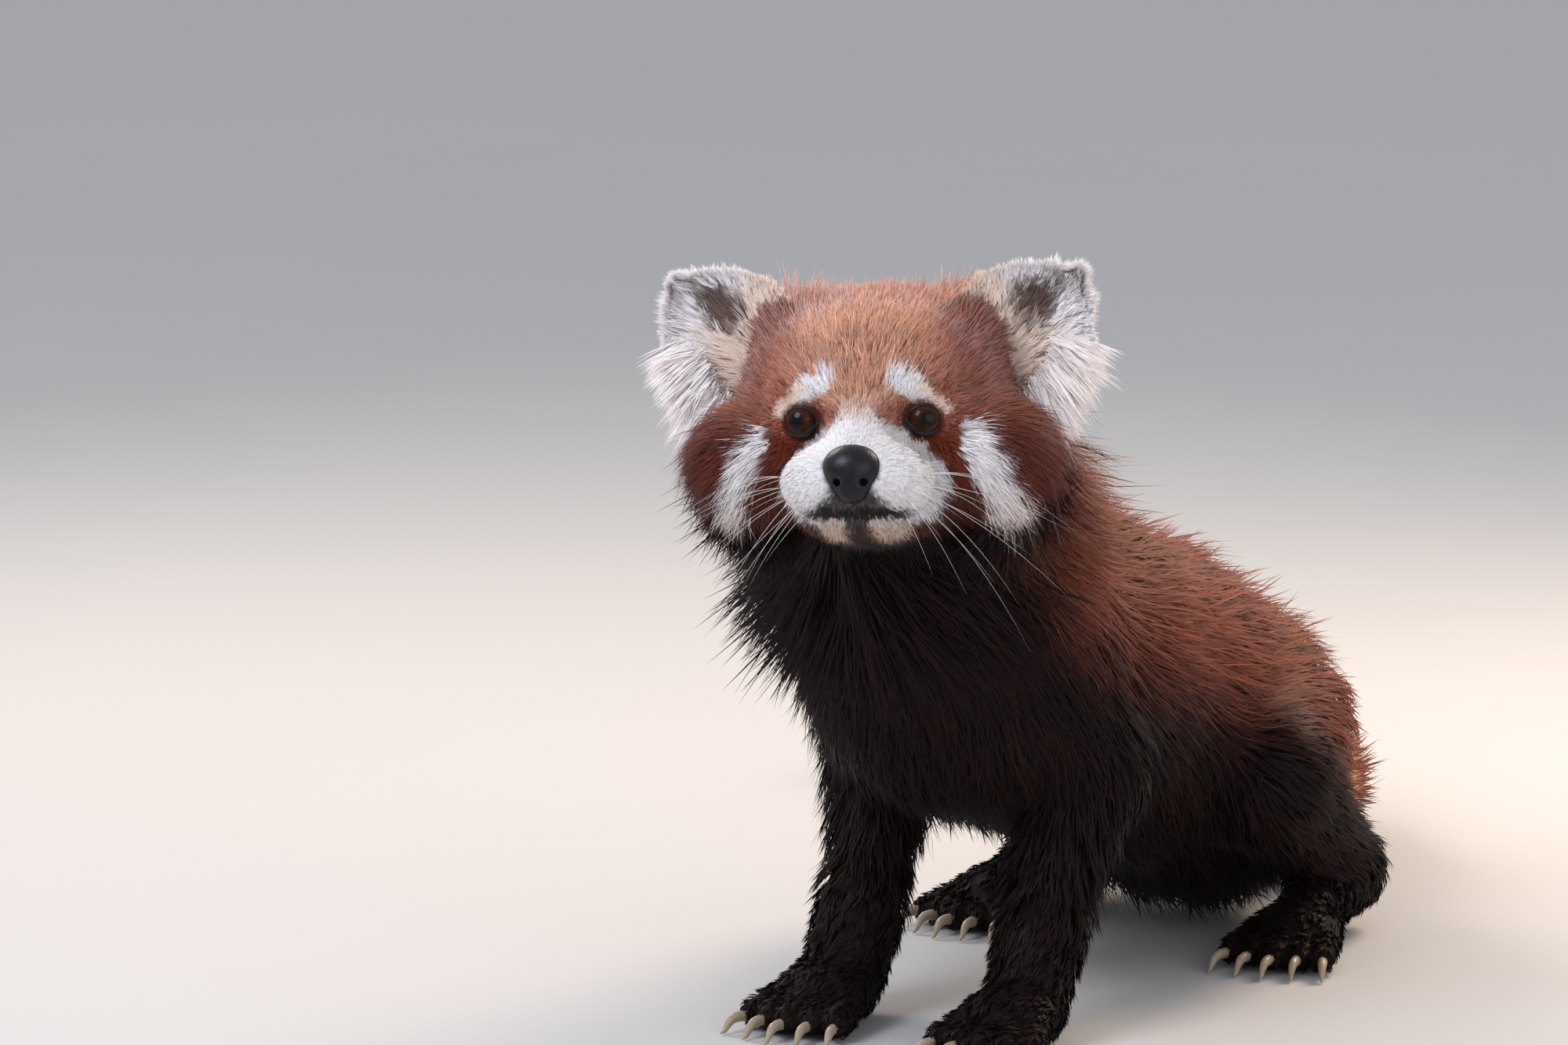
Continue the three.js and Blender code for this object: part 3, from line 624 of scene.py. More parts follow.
def tail_markings(places):
    share, _ = along_tail(places)
    wave = np.sin(2 * math.pi * (TAIL_RINGS * (share + 0.008 * ripple(places, 22)) - 0.1))
    tone = np.repeat(shade("back")[None], len(places), 0)
    tone = paint(tone, "ring", soft(wave, 0.15, 0.75) * soft(share, *RINGS_START))
    return paint(tone, "dark", np.maximum(soft(share, *DARK_TIP) * 0.85, 0.15))


DARK_LINE_ALONG = [-210, -150, -100, -60, 0, 60, 120]
DARK_LINE_ABOVE = [125, 52, 14, 4, 2, 0, -8]


def body_markings(places):
    """Red above and behind, dark below a line that falls from the throat to the flank."""
    ragged = rippled(places, 5, (0, 50, -20), (37, 31, 43))
    centre = np.interp(ragged[:, 1], TRUNK_COURSE[:, 1], TRUNK_COURSE[:, 2])
    above = ragged[:, 2] - centre
    line = np.interp(ragged[:, 1], DARK_LINE_ALONG, DARK_LINE_ABOVE)
    tone = np.repeat(shade("back")[None], len(places), 0)
    return paint(tone, "dark", 1 - soft(above, line - 26, line + 22))


SMALL_SHARE = 0.01


def markings(places, weights):
    """Colour at places on the body, mixed by how near each region is."""
    tone = np.zeros((len(places), 3))
    for name, weight in weights.items():
        near = weight > SMALL_SHARE
        if not near.any():
            continue
        here = places[near]
        if name == "head":
            found = head_markings(to_head(here))
        elif name == "tail":
            found = tail_markings(here)
        elif name.startswith(("trunk", "neck", "upper_arm", "thigh")):
            found = body_markings(here)
        else:
            found = np.repeat(shade("dark")[None], len(here), 0)
        tone[near] += weight[near][:, None] * found
    return tone


NEARNESS = 6.0
NEAR_MARGIN = 30


def region_weights(field, places):
    """Share of each region at each place, from its distance."""
    distances = {}
    for name, region in field.regions.items():
        low, high = region.box(NEAR_MARGIN)
        near = np.all((places > low) & (places < high), axis=1)
        found = np.full(len(places), FAR)
        found[near] = region.distance(places[near])
        distances[name] = found
    least = np.min(list(distances.values()), axis=0)
    raw = {name: np.exp(-(found - least) / NEARNESS) for name, found in distances.items()}
    total = np.sum(list(raw.values()), axis=0)
    return {name: found / total for name, found in raw.items()}


# Making meshes
def to_frame(places):
    return (np.asarray(places, float) + SHIFT) * MM


def mesh_object(name, places, faces, material, tones=None, uvs=None, normals=None):
    """An object from places in millimetres and faces with equal numbers of corners."""
    corners = faces.shape[1]
    mesh = bpy.data.meshes.new(name)
    mesh.vertices.add(len(places))
    mesh.vertices.foreach_set("co", to_frame(places).astype(np.float32).ravel())
    mesh.loops.add(faces.size)
    mesh.loops.foreach_set("vertex_index", faces.astype(np.int32).ravel())
    mesh.polygons.add(len(faces))
    mesh.polygons.foreach_set("loop_start", np.arange(0, faces.size, corners, dtype=np.int32))
    mesh.polygons.foreach_set("use_smooth", np.ones(len(faces), bool))
    mesh.update(calc_edges=True)
    if tones is not None:
        layer = mesh.color_attributes.new("Markings", "FLOAT_COLOR", "POINT")
        full = np.ones((len(places), 4), np.float32)
        full[:, :3] = np.clip(tones, 0, 1)
        layer.data.foreach_set("color", full.ravel())
    if uvs is not None:
        layer = mesh.uv_layers.new(name="OFBake")
        layer.data.foreach_set("uv", uvs[faces.ravel()].astype(np.float32).ravel())
    if normals is not None:
        mesh.normals_split_custom_set_from_vertices(normals.astype(np.float32).tolist())
    mesh.validate()
    mesh.materials.append(material)
    made = bpy.data.objects.new(name, mesh)
    bpy.context.scene.collection.objects.link(made)
    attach(made, "root")
    return made


def ring_mesh(rings, closed_start=False, closed_end=False):
    """Places and faces of a tube through rings of equal counts."""
    count = len(rings[0])
    places = np.vstack(rings)
    faces = []
    for i in range(len(rings) - 1):
        for k in range(count):
            j = (k + 1) % count
            faces.append([i * count + k, i * count + j, (i + 1) * count + j, (i + 1) * count + k])
    for is_closed, first, is_end in ((closed_start, 0, False), (closed_end, (len(rings) - 1) * count, True)):
        if is_closed:
            centre = len(places)
            places = np.vstack([places, places[first:first + count].mean(0)])
            for k in range(count):
                a, b = first + k, first + (k + 1) % count
                faces.append([a, b, centre, centre] if is_end else [b, a, centre, centre])
    return places, np.array(faces)


def triangles(faces):
    """Splits four-sided faces, leaving out the empty halves."""
    split = np.vstack([faces[:, [0, 1, 2]], faces[:, [0, 2, 3]]])
    whole = (split[:, 0] != split[:, 1]) & (split[:, 1] != split[:, 2]) & (split[:, 2] != split[:, 0])
    return split[whole]


def round_angles(count):
    return np.arange(count) / count * 2 * math.pi


def tube_rings(course, radii, sides, up=(0, 0, 1), flatness=1.0):
    course = np.asarray(course, float)
    rings = []
    for i, radius in enumerate(radii):
        way = unit(course[min(i + 1, len(course) - 1)] - course[max(i - 1, 0)])
        side = unit(np.cross(way, up))
        high = np.cross(side, way)
        angles = round_angles(sides)
        spokes = np.cos(angles)[:, None] * side + flatness * np.sin(angles)[:, None] * high
        rings.append(course[i] + radius * spokes)
    return rings


def joined(parts):
    """One set of places and three-sided faces from several."""
    places, faces, start = [], [], 0
    for part_places, part_faces in parts:
        places.append(part_places)
        faces.append(triangles(part_faces) + start if part_faces.shape[1] == 4 else part_faces + start)
        start += len(part_places)
    return np.vstack(places), np.vstack(faces)


# Materials
def node(tree, kind, **inputs):
    made = tree.nodes.new(kind)
    for key, value in inputs.items():
        made.inputs[key.replace("_", " ")].default_value = value
    return made


def noise(tree, scale):
    """Grain in the object's own space."""
    made = node(tree, "ShaderNodeTexNoise", Scale=scale, Detail=3.0)
    tree.links.new(tree.nodes.new("ShaderNodeTexCoord").outputs["Object"], made.inputs["Vector"])
    return made.outputs["Fac"]


def ranged(tree, value, low, high):
    made = tree.nodes.new("ShaderNodeMapRange")
    made.inputs["To Min"].default_value = low
    made.inputs["To Max"].default_value = high
    tree.links.new(value, made.inputs["Value"])
    return made.outputs["Result"]


def bump(tree, shader, value, strength, distance):
    made = node(tree, "ShaderNodeBump", Strength=strength, Distance=distance)
    tree.links.new(value, made.inputs["Height"])
    tree.links.new(made.outputs["Normal"], shader.inputs["Normal"])


def shader_of(material):
    return material.node_tree.nodes["Principled BSDF"]


def marked_material(name, roughness, sheen, grain, grain_depth, fineness, base=None):
    """A surface whose colour is its markings, broken up by a fine grain."""
    material = bpy.data.materials.new(name)
    material.use_nodes = True
    tree = material.node_tree
    shader = shader_of(material)
    if base is None:
        attribute = tree.nodes.new("ShaderNodeAttribute")
        attribute.attribute_name = "Markings"
        tone = attribute.outputs["Color"]
    else:
        made = tree.nodes.new("ShaderNodeRGB")
        made.outputs[0].default_value = (*base, 1)
        tone = made.outputs[0]
    speckle = ranged(tree, noise(tree, grain), 1 - fineness, 1 + fineness)
    mix = tree.nodes.new("ShaderNodeVectorMath")
    mix.operation = "SCALE"
    tree.links.new(tone, mix.inputs[0])
    tree.links.new(speckle, mix.inputs["Scale"])
    tree.links.new(mix.outputs["Vector"], shader.inputs["Base Color"])
    wear = ranged(tree, noise(tree, grain * 0.4), max(roughness - 0.1, 0), min(roughness + 0.08, 1))
    tree.links.new(wear, shader.inputs["Roughness"])
    bump(tree, shader, noise(tree, grain * 2), 0.4, grain_depth)
    shader.inputs["Sheen Weight"].default_value = sheen
    shader.inputs["Sheen Roughness"].default_value = 0.4
    shader.inputs["Specular IOR Level"].default_value = 0.35
    return material


# Coat
class Lay(NamedTuple):
    """How the hair grows at each root."""

    lie: np.ndarray
    length: np.ndarray
    lift: np.ndarray


def bent(lie, way, share):
    """The lie turned towards another way by a share at each root."""
    return unit(lie * (1 - share)[:, None] + way * share[:, None])


NOSE_POINT = vec(0, -44, -16)
SHOULDER_PUFF = 10
JAW_FUR = 12


def head_lay(here):
    """Lie, length and lift on the head, given on its own axes."""
    x, y, z = here.T
    wide = np.abs(x)
    away = here - NOSE_POINT
    distance = np.linalg.norm(away, axis=1)
    cheek = soft(wide, 30, 50) * soft(-z, -14, 6) * (1 - soft(y, 60, 85))
    side = np.sign(x)
    one = np.ones_like(x)
    down_out = side * (0.62 - 0.3 * soft(-z, 10, 45))
    down = unit(np.stack([down_out, 0.35 * one, -0.55 - 0.4 * soft(-z, 0, 40)], -1))
    lie = bent(unit(away), down, cheek)
    rear = soft(y, 40, 66) * (1 - soft(z, 18, 44))
    puffed = unit(np.stack([side * 0.8 * soft(wide, 6, 34), 0.45 * one, -0.45 * one], -1))
    lie = bent(lie, puffed, rear)
    beside = soft(wide, 14, 30) * soft(-z, -4, 10) * (1 - cheek)
    lie = unit(lie + vec(0, 0, -0.5) * beside[:, None])
    s = sizes()
    muzzle, crown, longest = s.muzzle_fur / MM, s.crown_fur / MM, s.cheek_fur / MM
    lengths = [1.1 * muzzle, 1.6 * muzzle, 2.1 * muzzle, 0.65 * crown, crown, 1.3 * crown]
    size = np.interp(distance, [12, 30, 45, 60, 90, 120], lengths)
    size = size + (longest - size) * cheek * soft(y, 0, 30)
    size = size + (longest * 1.3 - size) * rear
    shoulder = np.exp(-((wide - 34) / 12)**2) * soft(z, 16, 30) * soft(y, 18, 40)
    size = size + SHOULDER_PUFF * shoulder
    jaw = soft(-z, 34, 48) * (1 - soft(wide, 24, 40))
    size = size + (JAW_FUR - size) * jaw * (1 - cheek)
    lie = unit(lie + vec(0, 0, -0.8) * jaw[:, None])
    for eye_side in SIDES:
        gap = np.linalg.norm(here - vec(EYE_OUT * eye_side, 2, 0), axis=1)
        size = size * (0.25 + 0.75 * soft(gap, 9, 19))
        out = unit(here - vec(EYE_OUT * eye_side, 6, 0))
        near = (1 - soft(gap, 10, 17))[:, None]
        lie = unit(lie + out * near * 0.9)
    lift = 0.3 + 0.25 * soft(y, 20, 50) * soft(z, 10, 30) + 0.24 * cheek + 0.28 * rear + 0.4 * shoulder
    lift = lift - 0.16 * (1 - soft(distance, 28, 56))
    return lie, size, lift


# Lie, share of the leg fur's length, and lift
LEG_LAYS = {
    "upper_arm": ([0, 0.2, -1], 1.1, 0.28),
    "forearm": ([0, -0.25, -1], 0.85, 0.32),
    "thigh": ([0, 0.9, -0.6], 1.3, 0.28),
    "shank": ([0, 0.75, -0.6], 0.85, 0.26),
}


def body_lay(name, places):
    """Lie, length and lift on a region other than the head."""
    s = sizes()
    count = len(places)
    side = np.where(places[:, 0] >= 0, 1.0, -1.0)
    one = np.ones(count)
    if name == "tail":
        share, way = along_tail(places)
        size = s.tail_fur / MM * (0.75 + 0.25 * soft(share, 0.1, 0.3))
        return way, size, 0.55 * one
    if name == "trunk":
        centre = np.interp(places[:, 1], TRUNK_COURSE[:, 1], TRUNK_COURSE[:, 2])
        low = soft(centre - places[:, 2], -20, 40)
        lie = np.stack([0.12 * side, 1 - 0.5 * low, -0.4 - 0.5 * low], -1)
        chest = soft(-places[:, 1], 110, 150)
        lie = lie * (1 - chest)[:, None] + np.array([0, 0.1, -1]) * chest[:, None]
        return lie, s.back_fur / MM * (1 - 0.15 * low), 0.3 * one
    if name == "neck":
        up = soft((places - NECK_COURSE[0]) @ unit(NECK_COURSE[1] - NECK_COURSE[0]), 20, 70)
        lie = np.stack([0.35 * side * up, 0.5 * one, -0.85 + 0.25 * up], -1)
        return lie, s.neck_fur / MM * (1 + 0.3 * up), 0.32 + 0.46 * up
    kind = name.rsplit("_", 1)[0]
    if kind in LEG_LAYS:
        lie, share, lift = LEG_LAYS[kind]
        return np.tile(lie, (count, 1)), share * (s.leg_fur / MM) * one, lift * one
    heading = [0, -1, -0.3] if kind == "forepaw" else [0.13, -1, -0.3]
    return np.tile(heading, (count, 1)), s.foot_fur / MM * one, 0.25 * one


def lay_of(field, places, weights):
    lie, size, lift = np.zeros((len(places), 3)), np.zeros(len(places)), np.zeros(len(places))
    for name, weight in weights.items():
        near = weight > SMALL_SHARE
        if not near.any():
            continue
        if name == "head":
            way, found, rise = head_lay(to_head(places[near]))
            way = head_way(way)
        else:
            way, found, rise = body_lay(name, places[near])
        share = weight[near]
        lie[near] += unit(way) * share[:, None]
        size[near] += found * share
        lift[near] += rise * share
    return Lay(unit(lie), size, lift)


WAVES = 0.14


def flattened(ways, out):
    return unit(ways - np.sum(ways * out, 1)[:, None] * out)


def lock_paths(field, roots, steps, rng):
    """The places that each lock passes from its root to its tip, following the body."""
    weights = region_weights(field, roots)
    lay = lay_of(field, roots, weights)
    size = lay.length * rng.uniform(0.75, 1.12, len(roots))
    lift = lay.lift * rng.uniform(0.75, 1.2, len(roots))
    out = field.outwards(roots)
    waves = [ripple(roots + 11 * k, 26 - 3 * k) + 0.7 * ripple(roots - 9 * k, 8 + k) for k in range(3)]
    lie = unit(lay.lie + WAVES * np.stack(waves, -1))
    flow = flattened(lie + rng.normal(0, 0.13, (len(roots), 3)), out)
    place = roots - out * 0.6
    paths, outs = [place], [out]
    for k in range(1, steps + 1):
        s = k / steps
        place = place + flow * (size / steps)[:, None]
        normal = field.outwards(place)
        out = unit(out * 0.4 + normal * 0.6)
        wanted = size * lift * (1.45 * s - 0.45 * s * s)
        height = field.height(place)
        place = place + normal * ((wanted - height) * np.where(height < wanted, 1.0, 0.35))[:, None]
        place[:, 2] = np.maximum(place[:, 2], FLOOR_CLEARANCE)
        flow = flattened(flow * 0.65 + lie * 0.35, out)
        paths.append(place)
        outs.append(out)
    paths, outs = np.stack(paths, 1), np.stack(outs, 1)
    shown = paths[:, 1] * 0.45 + paths[:, 2] * 0.55 + rng.normal(0, 0.7, (len(roots), 3))
    tone = markings(shown, region_weights(field, shown))
    return paths, outs, size, tone


class Cut(NamedTuple):
    """How the hair of a lock is gathered, turned and coloured, with painted shade at its roots and painted
    highlights on its tips.
    """

    hairs: int
    gather: float = 0.8
    stray: float = 0.08
    # painted shade: roots darkened as if shaded among the hairs
    root_shade: float = 0.35
    # painted highlight: tips lightened as if catching the light
    tip_highlight: float = 1.25
    variety: float = 0.26
    smooth: float = 0.7
    # painted highlight: tips whitened as if catching the light
    white_highlight: float = 0.0
    turned: float = 0.45


TUFT_PATCH = 0.0015
TAPERS = {3: np.array([0.9, 0.9, 0.0]), 4: np.array([0.75, 1.0, 0.8, 0.0])}
# painted shade at the roots and painted highlight on the tips, for pale hair
PALE_ROOT_SHADE = 0.86
PALE_TIP_HIGHLIGHT = 1.02


def paleness(tones):
    return soft(tones.mean(1), 0.25, 0.6)[:, None]


def hair_lines(paths, outs, sides, ways, rng, cut, radius):
    """The middle line of every hair, gathered towards its lock's tip."""
    locks, stations = paths.shape[:2]
    count = cut.hairs
    total = np.linalg.norm(np.diff(paths, axis=1), axis=2).sum(1)
    angle = rng.uniform(0, 2 * math.pi, (locks, count))
    spread = np.sqrt(rng.uniform(0, 1, (locks, count))) * radius[:, None]
    lean = rng.normal(0, cut.stray, (locks, count, 2)) * total[:, None, None]
    reach = rng.uniform(0.72, 1.0, (locks, count))
    across = spread * np.cos(angle)
    along = spread * np.sin(angle)
    rows = np.arange(locks)[:, None]
    lines = np.empty((locks, count, stations, 3))
    for k, s in enumerate(np.linspace(0, 1, stations)):
        at = reach * s * (stations - 1)
        i = np.minimum(at.astype(int), stations - 2)
        u = (at - i)[..., None]
        spine = paths[rows, i] * (1 - u) + paths[rows, i + 1] * u
        aside = across * (1 - cut.gather * s) + lean[..., 0] * s
        ahead = along * (1 - s)
        off = lean[..., 1] * s * s * 0.8 + 0.25 * s
        lines[:, :, k] = (spine + sides[:, None, k] * aside[..., None] + ways[:, None, 0] * ahead[..., None]
                          + outs[:, None, k] * off[..., None])
    return lines


def hair_tones(tone, level, rng, cut):
    """Colours along every hair: its own tone, painted shade at the root, and a painted highlight that
    lightens and whitens the tip.
    """
    locks, count = len(tone), cut.hairs
    pale = paleness(tone)
    # painted shade at the root, rising to a painted highlight at the tip
    shaded_root = cut.root_shade + (PALE_ROOT_SHADE - cut.root_shade) * pale
    lit_tip = cut.tip_highlight + (PALE_TIP_HIGHLIGHT - cut.tip_highlight) * pale
    painted_light = np.repeat(shaded_root + (lit_tip - shaded_root) * level**0.7, count, 0)[..., None]
    uneven = cut.variety * (1 - 0.5 * pale)[..., None]
    of_lock = rng.normal(0, 0.5, (locks, 1, 1))
    of_hair = rng.normal(0, 1, (locks, count, 1))
    own = tone[:, None] * np.exp(uneven * (of_lock + of_hair))
    tones = own.reshape(locks * count, 1, 3) * painted_light
    # painted highlight: a random share of each tip whitened, only on hair that is not dark
    highlit_share = cut.white_highlight * rng.uniform(0, 1, (locks, count)) * soft(tone.mean(1), 0.07, 0.16)[:, None]
    highlit_share = highlit_share.reshape(-1, 1, 1) * level[None, :, None]**1.5
    return tones + (shade("white") - tones) * highlit_share


def ribbon_faces(stations):
    """Three-sided faces of one hair: two corners at each station, and one at its tip."""
    faces = []
    for k in range(stations - 2):
        a, b, c, d = 2 * k, 2 * k + 1, 2 * k + 3, 2 * k + 2
        faces += [[a, c, b], [a, d, c]]
    last = 2 * (stations - 2)
    faces.append([last, last + 2, last + 1])
    return np.array(faces)


def blades(paths, outs, tone, rng, cut, radius, width):
    """Tapered ribbons of hair about each lock's path: places, faces, colours, normals and patches."""
    locks, stations = paths.shape[:2]
    count = cut.hairs
    ways = unit(np.gradient(paths, axis=1))
    sides = unit(np.cross(ways, outs))
    lines = hair_lines(paths, outs, sides, ways, rng, cut, radius)
    twist = rng.normal(0, cut.turned, (locks, count, 1, 1))
    flat = np.cos(twist) * sides[:, None] + np.sin(twist) * outs[:, None]
    half = (width[:, None] * rng.uniform(0.7, 1.3, (locks, count)))[..., None] * TAPERS[stations] / 2
    edges = np.stack([lines + flat * half[..., None], lines - flat * half[..., None]], 3)
    body = edges[:, :, :-1].reshape(locks * count, 2 * (stations - 1), 3)
    places = np.concatenate([body, lines[:, :, -1].reshape(locks * count, 1, 3)], 1)
    places[..., 2] = np.maximum(places[..., 2], FLOOR_CLEARANCE * 0.5)
    corners = places.shape[1]
    faces = (np.arange(locks * count)[:, None, None] * corners + ribbon_faces(stations)[None]).reshape(-1, 3)
    level = np.append(np.repeat(np.linspace(0, 1, stations)[:-1], 2), 1.0)
    tones = hair_tones(tone, level, rng, cut)
    face_out = np.cross(ways[:, None], flat)
    face_out = face_out * np.sign(np.sum(face_out * outs[:, None], -1, keepdims=True))
    uneven = rng.normal(0, 0.06, (locks, count, 1, 3))
    normals = unit(outs[:, None] * cut.smooth + face_out * (1.1 - cut.smooth) + uneven)
    normals = np.concatenate([np.repeat(normals[:, :, :-1], 2, 2), normals[:, :, -1:]], 2)
    lanes = (np.arange(count) + 0.5) / count * 2 - 1
    edge = np.append(np.tile([-1.0, 1.0], stations - 1), 0.0)
    patch_across = lanes[None, :, None] * 0.85 + edge[None, None] * 0.8 / count
    patch = np.stack(np.broadcast_arrays(patch_across, (level * 2 - 1)[None, None]), -1) * TUFT_PATCH
    return places.reshape(-1, 3), faces, tones.reshape(-1, 3), normals.reshape(-1, 3), patch


def coat_object(name, locks, rng, cut, radius, width, spots, material):
    """An object of hair about the locks' paths, each lock on its own small patch of the unwrap."""
    paths, outs, tone = locks
    places, faces, tones, normals, patch = blades(paths, outs, tone, rng, cut, radius, width)
    patch = np.broadcast_to(patch, (len(paths), *patch.shape[1:]))
    uvs = (spots[:, None, None] + patch).reshape(-1, 2)
    return mesh_object(name, places, faces, material, tones, uvs, normals)


def fewer(count):
    return count


def roots_on(places, faces, weight, count, rng):
    """Random places on three-sided faces, thicker where the weight is greater."""
    a, b, c = (places[faces[:, k]] for k in range(3))
    area = np.linalg.norm(np.cross(b - a, c - a), axis=1) / 2 * weight
    chosen = rng.choice(len(faces), count, p=area / area.sum())
    u, v = rng.uniform(0, 1, (2, count))
    over = u + v > 1
    u[over], v[over] = 1 - u[over], 1 - v[over]
    return a[chosen] + (b - a)[chosen] * u[:, None] + (c - a)[chosen] * v[:, None]


PAGE_EDGE = 0.02
PAGE_WIDTH = 1 - 2 * PAGE_EDGE
UNWRAP_ENDS = 60


def unwrap_about_face(places):
    """Places of the head on a disc about the muzzle."""
    way = unit(to_head(places) - vec(0, 30, -6))
    polar = np.arccos(np.clip(-way[:, 1], -1, 1)) / math.pi
    angle = np.arctan2(way[:, 2], way[:, 0])
    return 0.5 + PAGE_WIDTH / 2 * np.stack([polar * np.cos(angle), polar * np.sin(angle)], -1)


def unwrap_round(places, course):
    """Places round a bent axis: the angle about it and the share of its length."""
    best, share, angle = np.full(len(places), FAR**2), np.zeros(len(places)), np.zeros(len(places))
    lengths = np.linalg.norm(np.diff(course, axis=0), axis=1)
    starts = np.concatenate([[0], np.cumsum(lengths)])
    for i, size in enumerate(lengths):
        way = (course[i + 1] - course[i]) / size
        side = unit(np.cross(way, [0.02, 0.1, 1]))
        up = np.cross(side, way)
        away = places - course[i]
        low = -UNWRAP_ENDS if i == 0 else 0
        high = size + UNWRAP_ENDS if i == len(lengths) - 1 else size
        along = np.clip(away @ way, low, high)
        off = away - along[:, None] * way
        gap = np.linalg.norm(off, axis=1)
        nearer = gap < best
        best[nearer] = gap[nearer]
        share[nearer] = (starts[i] + along[nearer] + UNWRAP_ENDS) / (starts[-1] + 2 * UNWRAP_ENDS)
        angle[nearer] = np.arctan2(off[nearer] @ side, off[nearer] @ up)
    return PAGE_EDGE + PAGE_WIDTH * np.stack([angle / (2 * math.pi) + 0.5, share], -1)


class CoatPiece(NamedTuple):
    """One piece of the coat: which roots are its own, how many locks, and how wide its hair is."""

    name: str
    slot: str
    chosen: object
    locks: int
    cut: Cut
    width: float
    radius: float
    course: np.ndarray = None
    steps: int = 3


def nearest_region(weights, *starts):
    names = list(weights)
    best = np.argmax([weights[name] for name in names], axis=0)
    wanted = [i for i, name in enumerate(names) if name.startswith(starts)]
    return np.isin(best, wanted)


def is_face(here):
    return (here[:, 1] < 22 - 0.2 * here[:, 2]) & (np.abs(here[:, 0]) < 40)


def is_bare(here):
    """Eyes and nose, where no hair grows."""
    bare = np.linalg.norm((here - NOSE_MIDDLE) / NOSE_RADII, axis=1) < 1.03
    for side in SIDES:
        bare |= np.hypot(here[:, 0] - EYE_OUT * side, 1.1 * here[:, 2]) < 7.6
    return bare & (here[:, 1] < 12)


def is_crown(here):
    return ~is_face(here) & (here[:, 2] > 4 - 0.1 * here[:, 1])


def is_cheek(here):
    return ~is_face(here) & ~is_crown(here)


FACE_CUT = Cut(5, smooth=0.98, white_highlight=0.2, turned=0.15)
CROWN_CUT = Cut(7, gather=0.85, stray=0.12, white_highlight=0.48, turned=0.3)
CHEEK_CUT = Cut(7, gather=0.7, stray=0.14, white_highlight=0.2, turned=0.3)
BODY_CUT = Cut(7, gather=0.55, stray=0.13, smooth=0.85, white_highlight=0.12)
TAIL_CUT = Cut(7, stray=0.1)
LEG_CUT = Cut(6, gather=0.65)
EAR_CUT = Cut(6, gather=0.55, stray=0.05, root_shade=0.92, tip_highlight=1.05, variety=0.1, smooth=0.98,
              turned=0.12)
CHEST_END = -20
TAIL_MIDDLE = 0.5


def coat_pieces():
    """The pieces in the order of their seeds; chosen says which roots are a piece's own."""
    def on(*starts):
        return lambda places, here, weights: nearest_region(weights, *starts)

    def head(name, test, locks, cut, width, radius, steps=3, slot="red_brown_fur"):
        def chosen(places, here, weights):
            return nearest_region(weights, "head") & test(here)
        return CoatPiece(f"coat_{name}", slot, chosen, locks, cut, width, radius, steps=steps)

    def trunk(name, test, locks, width):
        def chosen(places, here, weights):
            return nearest_region(weights, "trunk") & test(places[:, 1])
        return CoatPiece(f"coat_{name}", "red_brown_fur", chosen, locks, BODY_CUT, width, 4, TRUNK_COURSE)

    def tail(half, test):
        def chosen(places, here, weights):
            return nearest_region(weights, "tail") & test(along_tail(places)[0])
        return CoatPiece(f"coat_tail_{half}", "tail_fur", chosen, 2450, TAIL_CUT, 1.05, 3.0, TAIL_COURSE[::4])

    def leg(kind, parts, locks, width, radius, course):
        chosen = on(*[f"{part}_{name}" for part in parts])
        return CoatPiece(f"coat_{kind}_{name}", "dark_leg_fur", chosen, locks, LEG_CUT, width, radius, course)

    pieces = [
        head("face", is_face, 11800, FACE_CUT, 0.27, 0.8, 2, "cream_fur"),
        head("crown", is_crown, 4900, CROWN_CUT, 0.36, 1.7),
        head("cheek_left", lambda here: is_cheek(here) & (here[:, 0] > 0), 3700, CHEEK_CUT, 0.45, 2.2),
        head("cheek_right", lambda here: is_cheek(here) & (here[:, 0] <= 0), 3700, CHEEK_CUT, 0.45, 2.2),
        CoatPiece("coat_neck", "red_brown_fur", on("neck"), 2700, BODY_CUT, 0.8, 3.5, NECK_COURSE),
        trunk("chest", lambda along: along < CHEST_END, 2400, 0.85),
        trunk("back", lambda along: along >= CHEST_END, 3300, 0.8),
        tail("root", lambda share: share < TAIL_MIDDLE),
        tail("tip", lambda share: share >= TAIL_MIDDLE),
    ]
    for side, name in SIDE_NAMES:
        pieces.append(leg("foreleg", ("upper_arm", "forearm", "forepaw"), 1500, 0.7, 2.5, foreleg(side)))
        pieces.append(leg("hindleg", ("thigh", "shank", "hindfoot"), 1600, 0.8, 3.0, hindleg(side)))
    return pieces


STATE = {}


def the_field():
    if "field" not in STATE:
        field = Field(body_flesh())
        places, faces = surface_nets(field.axes, field.values)
        for _ in range(2):
            normal = field.outwards(places, 1.0)
            places = places - normal * np.clip(field.exact(places), -2, 2)[:, None]
        STATE["field"], STATE["skin"] = field, (places, faces)
    return STATE["field"]


# Roughness, sheen, grain and gloss
FUR_FINISHES = {
    "head": (0.6, 0.05, 900, 0.25),
    "body": (0.6, 0.03, 500, 0.12),
    "ear": (0.65, 0.4, 900, 0.25),
}


def fur_material(kind):
    key = f"fur_{kind}"
    if key not in STATE:
        roughness, sheen, grain, gloss = FUR_FINISHES[kind]
        STATE[key] = marked_material(key, roughness, sheen, grain, 0.0003, 0.14)
        shader_of(STATE[key]).inputs["Specular IOR Level"].default_value = gloss
    return STATE[key]


